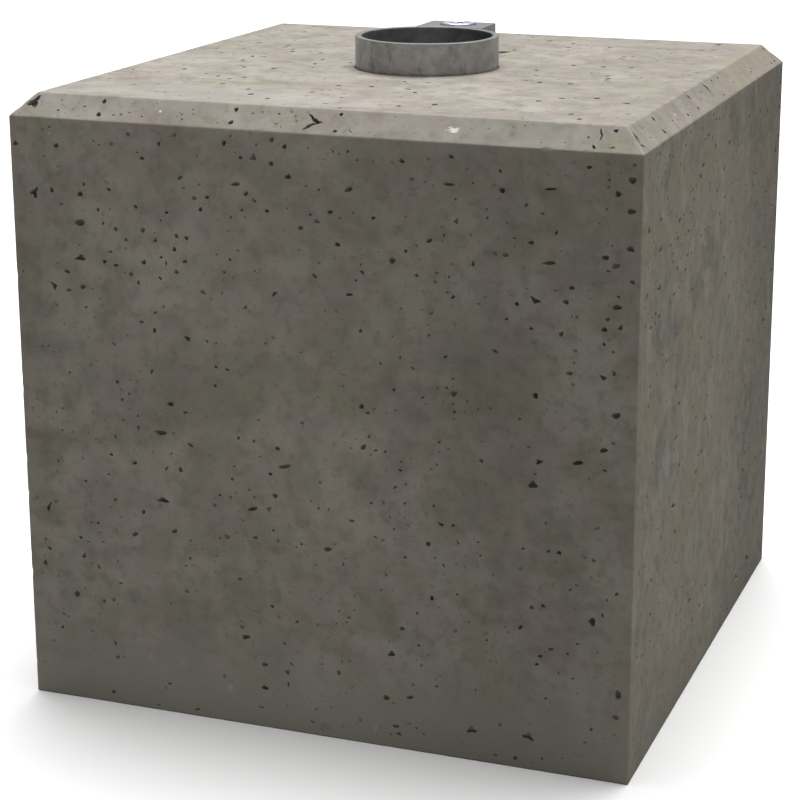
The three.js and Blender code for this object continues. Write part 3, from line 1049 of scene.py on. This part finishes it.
def lug_outline(step):
    """Counter-clockwise from the right front corner: side, rounded back corners, side, and the hollow
    front that follows the sleeve. Gives the points, the outward direction at each, and how much
    of the edge's rounding fits there, which shrinks towards the two sharp front corners."""
    corner_y = np.sqrt(lug_front ** 2 - lug_half ** 2)
    rise_points = int((lug_back - lug_round - corner_y) / step) + 1
    side, back = square_back(lug_half, corner_y, lug_back, lug_round, rise_points, 9, step)
    start = np.arctan2(corner_y, -lug_half)
    turn = np.linspace(start, np.pi - start, int(2 * lug_half / step) + 2)[1:-1]
    front = lug_front * np.column_stack([np.cos(turn), np.sin(turn)])
    line = np.vstack([side, back, (side * [-1, 1])[::-1], front])
    apart = np.hypot(np.abs(line[:, 0]) - lug_half, line[:, 1] - corner_y)
    return line, -leftward(line), np.clip(apart / 4, 0.12, 1)


# %% Build the lug
outline, away, softness = lug_outline(1.2)
print("outline of the lug:", len(outline), "points")
lug = Sheets("edge")
lug_rows, lug_marks = [], []
wall_levels = [lug_low[2], 270.0] + list(np.linspace(block_top - 3, sleeve_top - lug_edge, 9))
for height in wall_levels:
    lug_rows.append(at_height(outline, height))
    lug_marks.append(np.zeros(len(outline)))
for turn in np.radians((22, 45, 68, 90)):
    inset = softness * lug_edge * (1 - np.cos(turn))
    height = sleeve_top - softness * lug_edge * (1 - np.sin(turn))
    lug_rows.append(np.column_stack([outline - away * inset[:, None], height]))
    lug_marks.append(np.ones(len(outline)))
walls = np.vstack(lug_rows)
dents = 0.05 * (1 + soft_noise(walls, 6.0, 31)) * (walls[:, 2] < sleeve_top - 0.01)
spread = np.tile(away, (len(lug_rows), 1))
walls[:, :2] -= spread * dents[:, None]
walls[-len(outline):] = lug_rows[-1]
lug.add(walls, grid_faces(len(lug_rows), len(outline), True), edge=np.concatenate(lug_marks))

bore_edge = 0.4
bore_columns = 72
bore_wall = shank_radius + 0.3
bore_bottom = lug_low[2] + 14
bore_profile = [(counterbore_radius + bore_edge, sleeve_top), (counterbore_radius + 0.12, sleeve_top - 0.12),
                (counterbore_radius, sleeve_top - bore_edge), (counterbore_radius, sleeve_top - 4),
                (counterbore_radius, counterbore_floor + 0.3), (counterbore_radius - 0.3, counterbore_floor),
                (bore_wall, counterbore_floor), (bore_wall, 280), (bore_wall, bore_bottom)]
bore, bore_faces = capped(turned_grid(bore_profile, bore_columns, screw_y)[0], bore_columns,
                          (0, screw_y, bore_bottom))
lug.add(bore, bore_faces, edge=np.where(bore[:, 2] > sleeve_top - 0.2, 1.0, 0.0))


def flat_end(border, height, hole=np.empty((0, 2)), down=False):
    """A level face with this border, triangulated round a hole, which is dropped."""
    places = np.vstack([border, hole])
    faces = triangulated(places, [len(border) + np.arange(len(hole))], len(border), len(hole))
    return at_height(places, height), faces[:, ::-1] if down else faces


lug.add(*flat_end(walls[-len(outline):, :2], sleeve_top, bore[:bore_columns, :2]))
lug.add(*flat_end(walls[:len(outline), :2], lug_low[2], down=True))


# %% The two welds
weld_ripple = 1.3
weld_columns = 20


def weld_bead(side):
    """A section with one round face, carried up the corner between lug and sleeve. Its size beats
    along the way, once for each ripple, and shrinks to nothing over the last millimetre."""
    corner_y = np.sqrt(sleeve_radius ** 2 - lug_half ** 2)
    low, high = block_top + 0.2, sleeve_top - 1.5
    levels = np.linspace(low, high, 64)
    turn = np.linspace(0, 2 * np.pi, weld_columns, endpoint=False)
    beat = np.abs(np.sin(np.pi * levels / weld_ripple)) ** 0.7
    ends = np.sqrt(np.clip(1 - ((levels - (low + high) / 2) / ((high - low) / 2)) ** 8, 0.02, 1))
    size = (0.86 + 0.14 * beat + 0.05 * line_noise(levels, 2.6, 33 + side)) * ends
    x = side * (lug_half - 0.35 + size[:, None] * 1.5 * np.cos(turn) * 0.8)
    y = corner_y + 1.5 + size[:, None] * 1.75 * np.sin(turn)
    far = np.hypot(x, y)
    stay = np.maximum(far, sleeve_radius + 0.12)
    x, y = x * stay / far, y * stay / far
    x = side * np.minimum(np.abs(x), lug_half + 1.1)
    z = np.repeat(levels[:, None], len(turn), axis=1)
    points = np.stack([x, y, z], axis=-1).reshape(-1, 3)
    caps = np.vstack([[points[:weld_columns].mean(axis=0)], [points[-weld_columns:].mean(axis=0)]])
    many = len(points)
    faces = np.vstack([grid_faces(len(levels), weld_columns, True),
                       fan_faces(np.arange(weld_columns)[::-1], many),
                       fan_faces(np.arange(many - weld_columns, many), many + 1)])
    return np.vstack([points, caps]), faces if side > 0 else faces[:, ::-1]


for side in (-1, 1):
    points, faces = weld_bead(side)
    lug.add(points, faces, edge=0.3)
clamp_lug = lug.piece("galvanised_lug", 45)

# %% [markdown]
# ## The clamp screw
# A socket-head screw, zinc plated: a round head with a knurled side, a rounded upper edge and a
# hexagon socket with a small countersink. Its radius is a function of the angle and the row: the
# knurl is a wave, and the hexagon is its flat's distance over the cosine of the angle from the flat.

# %% Build the screw
screw_columns = 288
angle = np.linspace(0, 2 * np.pi, screw_columns, endpoint=False)
head_bottom = head_top - head_height
to_flat = (angle + np.pi / 6) % (np.pi / 3) - np.pi / 6
hexagon = socket_flats / 2 / np.cos(to_flat)
socket_corner = socket_flats / 2 / np.cos(np.pi / 6)
knurl_teeth = 48
knurl_depth = 0.16
knurl = head_radius - 0.02 - knurl_depth * (0.5 - 0.5 * np.cos(knurl_teeth * angle))
screw_rows = [(shank_radius * 0.8, screw_low[2]), (shank_radius, screw_low[2] + 1),
              (shank_radius, head_bottom - 0.4), (shank_radius + 0.4, head_bottom),
              (head_radius - 0.5, head_bottom), (knurl, head_bottom + 0.5), (knurl, head_bottom + 4),
              (knurl, head_top - 1.7), (head_radius - 0.05, head_top - 1.35)]
screw_rows += rounded((head_radius - 1.1, head_top - 1.1), 1.05, 0, 7)
countersink = np.maximum(hexagon, socket_corner - 0.1)
screw_rows += [(head_radius - 1.6, head_top - 0.05), (socket_corner + 0.55, head_top - 0.05),
               (socket_corner + 0.25, head_top - 0.2), (countersink, head_top - 0.5),
               (hexagon, head_top - 0.75), (hexagon, head_top - socket_depth),
               (hexagon * 0.5, head_top - socket_depth - 0.5)]
points = [np.column_stack([r * np.cos(angle), r * np.sin(angle) + screw_y, np.full(screw_columns, z)])
          for r, z in screw_rows]
points, faces = capped(np.vstack(points), screw_columns, (0, screw_y, head_top - socket_depth - 0.9),
                       (0, screw_y, screw_low[2]))
top_row = [k for k, (_, z) in enumerate(screw_rows) if z > head_top - 0.9]
screw_mark = np.zeros(len(points))
screw_mark[top_row[0] * screw_columns:(top_row[-1] - 4) * screw_columns] = 1.0
screw = Sheets("edge")
points[:, 2] = np.minimum(points[:, 2], head_top)
screw.add(points, faces, edge=screw_mark)
clamp_screw = screw.piece("socket_head_screw", 35)

# %% [markdown]
# ## Writing materials
# A material is a small program of nodes. The class below writes a node per call, so that a recipe
# reads like a sentence. Effects that serve more than one material are node groups, which put
# out masks and heights only. What a surface is, metal or stone, stays in its own material.

# %% A writer of nodes
class Recipe:
    """Writes nodes into one tree. add() makes a node, sets it, and joins or fills its inputs. The
    others name the nodes that are used often, and give the output that the next node needs."""

    def __init__(self, tree):
        self.tree = tree

    def add(self, kind, inputs=None, output=0, **settings):
        node = self.tree.nodes.new("ShaderNode" + kind)
        for key, value in settings.items():
            setattr(node, key, value)
        for key, value in (inputs or {}).items():
            if isinstance(value, bpy.types.NodeSocket):
                self.join(value, node.inputs[key])
            else:
                node.inputs[key].default_value = value
        return node.outputs[output]

    def math(self, operation, first, second):
        return self.add("Math", {0: first, 1: second}, operation=operation)

    def times(self, first, second):
        return self.math("MULTIPLY", first, second)

    def plus(self, first, second):
        return self.math("ADD", first, second)

    def minus(self, first, second):
        return self.math("SUBTRACT", first, second)

    def per(self, size):
        return self.math("DIVIDE", 1.0, size)

    def vector(self, operation, first, second):
        return self.add("VectorMath", {0: first, 1: second}, operation=operation)

    def length(self, vector):
        return self.add("VectorMath", {0: vector}, "Value", operation="LENGTH")

    def noise(self, place, frequency, detail, roughness=0.5, output=0):
        inputs = {"Vector": place, "Scale": frequency, "Detail": detail, "Roughness": roughness}
        return self.add("TexNoise", inputs, output)

    def marks(self, name):
        """The value of a mark that the mesh carries."""
        return self.add("Attribute", output="Fac", attribute_name=name)

    def blend(self, mask, below, above):
        """Lays the colour above over the one below, as far as the mask says."""
        return self.add("Mix", {0: mask, 6: below, 7: above}, 2, data_type="RGBA")

    def steps(self, value, low, high, to_low=0.0, to_high=1.0):
        """Maps low to high onto the two results, in a smooth step, and stays there beyond them."""
        return self.add("MapRange", {0: value, 1: low, 2: high, 3: to_low, 4: to_high},
                        interpolation_type="SMOOTHSTEP")

    def group(self, tree, inputs):
        return self.add("Group", inputs, node_tree=tree)

    def join(self, value, socket):
        self.tree.links.new(value, socket)

    def split(self, vector):
        """The outputs X, Y and Z of a vector."""
        node = self.tree.nodes.new("ShaderNodeSeparateXYZ")
        self.join(vector, node.inputs[0])
        return node.outputs

    def dress(self, shader, colour, rough, height, strength, distance):
        """Joins the shader to its colour, its roughness and a bump of this height in metres."""
        bump = self.add("Bump", {"Strength": strength, "Distance": distance, "Height": height})
        for value, label in ((colour, "Base Color"), (rough, "Roughness"), (bump, "Normal")):
            self.join(value, shader.inputs[label])


# %% New groups and materials
def new_group(name, output, **inputs):
    """An empty node group with one output, a number, and named inputs, which are numbers where a
    value is given and vectors where none is. Gives the recipe that writes in it and its inputs."""
    tree = bpy.data.node_groups.new(name, "ShaderNodeTree")
    for label, value in inputs.items():
        kind = "NodeSocketVector" if value is None else "NodeSocketFloat"
        socket = tree.interface.new_socket(label, in_out="INPUT", socket_type=kind)
        if value is not None:
            socket.default_value = value
    tree.interface.new_socket(output, in_out="OUTPUT", socket_type="NodeSocketFloat")
    return Recipe(tree), tree.nodes.new("NodeGroupInput").outputs


def close_group(recipe, value):
    """Gives the value out of the group that the recipe has written."""
    recipe.join(value, recipe.tree.nodes.new("NodeGroupOutput").inputs[0])
    return recipe.tree


def new_material(name):
    """A material with its Principled shader, and the recipe that writes in it."""
    material = bpy.data.materials.new(name)
    material.use_nodes = True
    tree = material.node_tree
    return material, Recipe(tree), tree.nodes["Principled BSDF"]


# %% [markdown]
# ## Shared effects
# Five effects are shared. Clouds are soft patches of any size, for mottled paste, dirt and dull
# zinc. Dots are small round marks, for pinholes and white grains. Runs are upright streaks, for
# what flowed down. A spot is one ragged patch at a given place, for stains and one patch of painted
# shade. Grain is a fine height for the bump. All work in the piece's own metres.

# %% Clouds and dots
recipe, given = new_group("clouds", "Mask", Place=None, Size=0.03, Detail=3.0, Seed=0.0, From=0.45, To=0.6)
shifted = recipe.vector("ADD", given["Place"], given["Seed"])
noise = recipe.noise(shifted, recipe.per(given["Size"]), given["Detail"], 0.55)
clouds = close_group(recipe, recipe.steps(noise, given["From"], given["To"]))

recipe, given = new_group("dots", "Mask", Place=None, Spacing=0.003, Radius=0.0004, Share=0.3, Seed=0.0)
shifted = recipe.vector("ADD", given["Place"], given["Seed"])
ruffle = recipe.add("VectorMath", {0: recipe.noise(shifted, 900.0, 1.0, output=1), "Scale": 0.0008},
                    operation="SCALE")
cells = {"Vector": recipe.vector("ADD", shifted, ruffle), "Scale": recipe.per(given["Spacing"])}
away = recipe.times(recipe.add("TexVoronoi", cells, "Distance"), given["Spacing"])
number = recipe.split(recipe.add("TexVoronoi", cells, "Color"))
chosen = recipe.math("LESS_THAN", number["X"], given["Share"])
size = recipe.times(given["Radius"], recipe.steps(number["Y"], 0.0, 1.0, 0.5, 1.3))
near = recipe.steps(recipe.math("DIVIDE", away, size), 0.6, 1.1, 1.0, 0.0)
dots = close_group(recipe, recipe.times(near, chosen))

# %% Runs, spots and grain
recipe, given = new_group("runs", "Mask", Place=None, Width=0.004, Stretch=0.1, From=0.4, To=0.65)
squeeze = recipe.add("CombineXYZ", {0: 1.0, 1: 1.0, 2: given["Stretch"]})
drawn = recipe.vector("MULTIPLY", given["Place"], squeeze)
noise = recipe.noise(drawn, recipe.per(given["Width"]), 4.0, 0.6)
runs_group = close_group(recipe, recipe.steps(noise, given["From"], given["To"]))

recipe, given = new_group("spot", "Mask", Place=None, Centre=None, Reach=None, Ruffle=0.5)
offset = recipe.vector("SUBTRACT", given["Place"], given["Centre"])
offset = recipe.vector("DIVIDE", offset, given["Reach"])
ruffle = recipe.times(recipe.minus(recipe.noise(offset, 1.6, 3.0, 0.6), 0.5), given["Ruffle"])
mask = recipe.steps(recipe.plus(recipe.length(offset), ruffle), 0.35, 1.0, 1.0, 0.0)
spot = close_group(recipe, mask)

recipe, given = new_group("grain", "Height", Place=None, Fine=0.0006, Coarse=0.004)
fine = recipe.noise(given["Place"], recipe.per(given["Fine"]), 3.0, 0.65)
coarse = recipe.noise(given["Place"], recipe.per(given["Coarse"]), 2.0, 0.5)
grain = close_group(recipe, recipe.plus(fine, coarse))


def cloudy(recipe, place, size, low, high, seed=0.0, detail=3.0):
    """Clouds of this size in metres, which start at the low value of the noise and fill at the high."""
    return recipe.group(clouds, {"Place": place, "Size": size, "Detail": detail, "Seed": seed,
                                 "From": low, "To": high})


print("node groups:", [tree.name for tree in (clouds, dots, runs_group, spot, grain)])

# %% [markdown]
# ## Cast concrete
# Cement paste that set against steel is smooth, dull and mottled: patches a few centimetres wide
# lean to purple-grey or to olive, finer ones make it uneven at every size. Pinholes too small for
# the mesh are dots of painted shade with a dent, a few grains show white, a few pores rust. The pores'
# marks in the mesh paint shade into their bowls, and the edge mark lets the rubbed arrises show a
# little paler.
# A little shade lies over it all, because in the photograph the sides grow darker towards the back,
# the left end and the top, and the right side away from the front, more than the lamps alone do it.

# %% Concrete
concrete, recipe, shader = new_material("cast_concrete")
place = recipe.add("TexCoord", output="Object")
hollow = recipe.marks("hollow")
edge = recipe.marks("edge")

paste = (0.200, 0.184, 0.158, 1)
pale_paste = (0.256, 0.238, 0.209, 1)
purple_paste = (0.222, 0.186, 0.170, 1)
olive_paste = (0.192, 0.189, 0.140, 1)
dark_paste = (0.125, 0.112, 0.095, 1)
grey_paste = (0.268, 0.256, 0.240, 1)
tan_paste = (0.220, 0.194, 0.146, 1)
painted_hole_shade = (0.040, 0.035, 0.028, 1)
white_grain = (0.62, 0.60, 0.56, 1)
rust = (0.15, 0.085, 0.060, 1)

facing = recipe.split(recipe.add("NewGeometry", output="True Normal"))
where = recipe.split(place)
rightward = recipe.steps(facing["X"], 0.75, 0.95)


def mottled(colour, above, share, *cloud):
    """Lays a colour over the one below, in clouds, as far as the share says."""
    return recipe.blend(recipe.times(cloudy(recipe, place, *cloud), share), colour, above)


def dotted(spacing, radius, share, seed=0.0):
    """Dots of this radius, one for that share of the cells, which are as far apart as the spacing."""
    return recipe.group(dots, {"Place": place, "Spacing": spacing, "Radius": radius, "Share": share,
                               "Seed": seed})


# %% Mottled paste, pinholes and white grains
tide_share = recipe.plus(recipe.times(rightward, 0.48), 0.22)
washed_share = recipe.plus(recipe.times(rightward, 0.35), 0.45)
colour = mottled(paste, pale_paste, 1.0, 0.085, 0.38, 0.66, 0.0, 2.0)
colour = mottled(colour, purple_paste, 0.85, 0.024, 0.47, 0.62, 3.0)
colour = mottled(colour, olive_paste, 0.72, 0.022, 0.50, 0.64, 7.0)
colour = mottled(colour, dark_paste, 0.34, 0.015, 0.47, 0.66, 17.0, 2.0)
colour = mottled(colour, dark_paste, tide_share, 0.044, 0.46, 0.62, 29.0, 2.0)
colour = mottled(colour, tan_paste, recipe.times(rightward, 0.80), 0.038, 0.42, 0.56, 37.0)
colour = mottled(colour, pale_paste, washed_share, 0.018, 0.50, 0.68, 23.0, 2.0)
fine_mottle = cloudy(recipe, place, 0.007, 0.46, 0.70, 11.0, 4.0)
colour = recipe.blend(recipe.times(fine_mottle, 0.34), colour, dark_paste)
colour = mottled(colour, dark_paste, 0.17, 0.0016, 0.50, 0.72, 5.0, 2.0)
# Painted shade: pinholes too small for the mesh are painted as dark dots, the first set also with a dent in
# the bump.
pinholes = dotted(0.0030, 0.00038, 0.42)
colour = recipe.blend(recipe.times(pinholes, 0.45), colour, painted_hole_shade)
colour = mottled(colour, dark_paste, 0.34, 0.0048, 0.60, 0.72, 31.0, 2.0)
colour = recipe.blend(recipe.times(dotted(0.0052, 0.00085, 0.5, 4.0), 0.32), colour, painted_hole_shade)
colour = recipe.blend(recipe.times(dotted(0.011, 0.00045, 0.10, 2.0), 0.8), colour, white_grain)
print("concrete with its mottles:", len(recipe.tree.nodes), "nodes")

# %% Stains, and one patch of painted shade: centre, reach, share, tone and how ragged
chamfer_out = half_side - chamfer / 2
chamfer_up = shoulder_height + chamfer / 2
stains_and_shade = [((-138, -half_side, height), (26, 9, 6), 0.42, dark_paste, 1.4) for height in (178, 133, 23)]
stains_and_shade += [
    ((126, -half_side, 34), (7, 6, 42), 0.40, pale_paste, 1.2),
    ((64.6, -chamfer_out, chamfer_up), (3.4, 1.8, 1.8), 0.9, white_grain, 3.2),
    ((-75, -half_side + 5.2, shoulder_height + 5.2), (0.8, 0.8, 0.8), 0.9, white_grain, 0.6),
    ((half_side - 5.2, -75, shoulder_height + 5.2), (0.8, 0.8, 0.8), 0.9, white_grain, 0.6),
    ((chamfer_out, 85, chamfer_up), (14, 95, 14), 0.50, tan_paste, 1.0),
    ((80, -chamfer_out, chamfer_up), (80, 14, 14), 0.16, grey_paste, 1.0),
    ((-60, -118, block_top), (95, 34, 20), 0.36, grey_paste, 1.2),
    ((-75, -half_side, 165), (75, 12, 36), 0.22, dark_paste, 1.4),
    # Painted shade: the last patch, dark, behind the lug's back right corner, stands in for the shade of a
    # void that the mesh does not cut.
    ((18.2, 63.6, block_top), (5.0, 6.5, 5.0), 0.85, painted_hole_shade, 0.7),
]
for centre, reach, share, tone, ragged in stains_and_shade:
    mask = recipe.group(spot, {"Place": place, "Centre": [value * MM for value in centre],
                               "Reach": [value * MM for value in reach], "Ruffle": ragged})
    colour = recipe.blend(recipe.times(mask, share), colour, tone)
print(len(stains_and_shade), "stains_and_shade")

# %% Rubbed edges, painted shade in the bowls, a paler foot as painted light, and painted shade
colour = recipe.blend(recipe.times(edge, 0.17), colour, pale_paste)
# Painted shade: the hollow mark of pores, cracks and deep chips paints their bowls dark, with clouds of rust
# here and there.
bowl = recipe.blend(cloudy(recipe, place, 0.012, 0.60, 0.66, 13.0, 1.0), painted_hole_shade, rust)
colour = recipe.blend(recipe.steps(hollow, 0.0, 0.95, 0.0, 0.74), colour, bowl)

upright = recipe.steps(facing["Z"], 0.2, 0.65, 1.0, 0.0)
# Painted light: the foot of each upright side, less on the right one, is painted paler to lift the shade that
# the floor lays along its base.
foot = recipe.times(upright, recipe.steps(where["Z"], 0.0, 0.060, 0.95, 0.0))
foot = recipe.times(foot, recipe.minus(1.0, recipe.times(rightward, 0.7)))
colour = recipe.blend(foot, colour, pale_paste)

to_right = recipe.times(recipe.steps(where["X"], 0.0, 0.10), recipe.steps(rightward, 0.0, 1.0, 0.20, 0.225))
to_left = recipe.times(recipe.steps(where["X"], -0.14, -0.06, 1.0, 0.0), 0.13)
to_back = recipe.times(recipe.steps(where["Y"], 0.0, 0.13), 0.23)
upper = recipe.times(recipe.steps(where["Z"], 0.01, 0.22), recipe.steps(rightward, 0.0, 1.0, 0.08, 0.0))
shade = recipe.times(upright, recipe.plus(recipe.plus(to_right, upper), recipe.plus(to_left, to_back)))
sloped = recipe.minus(recipe.steps(facing["Z"], 0.5, 0.65), recipe.steps(facing["Z"], 0.75, 0.95))
shade = recipe.plus(shade, recipe.times(sloped, 0.055))
colour = recipe.blend(recipe.plus(shade, 0.01), colour, (0, 0, 0, 1))

rough = recipe.steps(fine_mottle, 0.0, 1.0, 0.80, 0.93)
height = recipe.group(grain, {"Place": place, "Fine": 0.0007, "Coarse": 0.0045})
height = recipe.minus(recipe.times(height, 0.30), pinholes)
recipe.dress(shader, colour, rough, height, 0.5, 0.0004)
shader.inputs["Specular IOR Level"].default_value = 0.32
concrete_block.data.materials.append(concrete)
print("cast concrete:", len(recipe.tree.nodes), "nodes")

# %% [markdown]
# ## Galvanised steel
# Hot zinc freezes into a dull grey skin. It ran down the sleeve, so the wall has upright streaks
# of darker oxide, and patches of the crystals' flaky pattern show in the gloss. Near the concrete
# a film of grey cement dust has stayed. The rim and the lug's top catch the weather and are duller.

# %% Zinc skin for the sleeve and the lug
dust_share = 0.55


def zinc_skin(name, base, pale, worn):
    """Dull zinc: a grey metal under a film of oxide, so only half of it mirrors. It has clouds of
    two greys, short upright runs, crystal flakes that change the roughness, a line of cement dust
    above the concrete, an upper edge dulled by weather, and a bore painted darker as shade, most on
    its +X side."""
    material, recipe, shader = new_material(name)
    place = recipe.add("TexCoord", output="Object")
    edge = recipe.marks("edge")
    bore = recipe.marks("bore")
    parts = recipe.split(place)
    colour = recipe.blend(cloudy(recipe, place, 0.008, 0.42, 0.62, 4.0), base, pale)
    runs = recipe.group(runs_group, {"Place": place, "Width": 0.0042, "Stretch": 0.30,
                                     "From": 0.54, "To": 0.70})
    colour = recipe.blend(recipe.times(runs, 0.52), colour, (0.125, 0.122, 0.115, 1))
    flakes = recipe.add("TexVoronoi", {"Vector": place, "Scale": 320.0}, "Color")
    flake_tone = recipe.add("SeparateColor", {0: flakes})
    colour = recipe.blend(recipe.times(flake_tone, 0.10), colour, (0.40, 0.40, 0.41, 1))
    colour = recipe.blend(recipe.times(edge, 0.85), colour, worn)
    # Painted shade: the bore is painted darker inside, most on its +X side.
    painted_bore_shade = recipe.times(bore, recipe.steps(parts["X"], -0.012, 0.030, 0.50, 0.92))
    colour = recipe.blend(painted_bore_shade, colour, (0.105, 0.110, 0.112, 1))
    scale = recipe.times(cloudy(recipe, place, 0.014, 0.50, 0.60, 21.0), recipe.times(bore, 0.30))
    colour = recipe.blend(scale, colour, pale)
    ragged = recipe.times(cloudy(recipe, place, 0.004, 0.30, 0.75, 9.0), 0.0014)
    above = recipe.minus(parts["Z"], (block_top + 0.2) * MM)
    dust = recipe.steps(recipe.minus(above, ragged), -0.0008, 0.0008, dust_share, 0.0)
    colour = recipe.blend(dust, colour, (0.15, 0.14, 0.12, 1))
    recipe.join(recipe.steps(dust, 0.0, dust_share, 0.50, 0.15), shader.inputs["Metallic"])
    rough = recipe.plus(recipe.times(flake_tone, 0.10), recipe.times(runs, 0.10))
    rough = recipe.plus(rough, recipe.times(edge, 0.22))
    rough = recipe.plus(rough, recipe.steps(dust, 0.0, dust_share, 0.38, 0.70))
    height = recipe.group(grain, {"Place": place, "Fine": 0.0011, "Coarse": 0.006})
    height = recipe.plus(height, recipe.times(runs, 0.4))
    recipe.dress(shader, colour, rough, height, 0.35, 0.0003)
    return material


sleeve_greys = (0.310, 0.307, 0.303, 1), (0.405, 0.402, 0.399, 1), (0.118, 0.119, 0.120, 1)
lug_greys = (0.205, 0.208, 0.212, 1), (0.245, 0.248, 0.255, 1), (0.133, 0.135, 0.138, 1)
post_sleeve.data.materials.append(zinc_skin("sleeve_zinc", *sleeve_greys))
clamp_lug.data.materials.append(zinc_skin("lug_zinc", *lug_greys))
print("zinc on", [thing.name for thing in (post_sleeve, clamp_lug)])

# %% [markdown]
# ## Bright zinc
# The screw is zinc plated in a cold bath, which leaves it bright and a little blue. Turning marks
# run round the top of its head, and the socket's upper walls are painted dark as shade.

# %% Bright zinc for the screw
bright_zinc, recipe, shader = new_material("bright_zinc")
place = recipe.add("TexCoord", output="Object")
centred = recipe.add("Mapping", {"Vector": place, "Location": (0, -screw_y * MM, 0)})
parts = recipe.split(centred)
flat_place = recipe.add("CombineXYZ", {0: parts["X"], 1: parts["Y"]})
from_axis = recipe.length(flat_place)
turned = recipe.add("TexNoise", {"W": recipe.times(from_axis, 4200.0), "Detail": 2.0}, noise_dimensions="1D")
smear = cloudy(recipe, place, 0.003, 0.40, 0.68, 6.0)
colour = recipe.blend(smear, (0.52, 0.53, 0.61, 1), (0.43, 0.44, 0.53, 1))
# Painted shade: the upper walls of the socket are painted dark, so that it reads as a dark hollow.
below = recipe.steps(parts["Z"], (head_top - 0.75) * MM, (head_top - 0.30) * MM, 0.92, 0.0)
painted_socket_shade = recipe.times(below, recipe.steps(from_axis, 0.0046, 0.0051, 1.0, 0.0))
colour = recipe.blend(painted_socket_shade, colour, (0.09, 0.08, 0.07, 1))
rough = recipe.plus(recipe.steps(smear, 0.0, 1.0, 0.34, 0.46), recipe.times(painted_socket_shade, 0.35))
recipe.dress(shader, colour, rough, turned, 0.25, 0.00012)
shader.inputs["Metallic"].default_value = 0.6
clamp_screw.data.materials.append(bright_zinc)
print("bright zinc:", len(recipe.tree.nodes), "nodes")

# %% Put the pieces in the place of their CAD nodes
for thing, node, slot_name in ((concrete_block, "concrete_block", "concrete"),
                               (post_sleeve, "post_sleeve", "galvanised_steel"),
                               (clamp_lug, "clamp_lug", "galvanised_steel"),
                               (clamp_screw, "clamp_screw", "zinc_plated_steel")):
    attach(thing, "root")
    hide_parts(node)
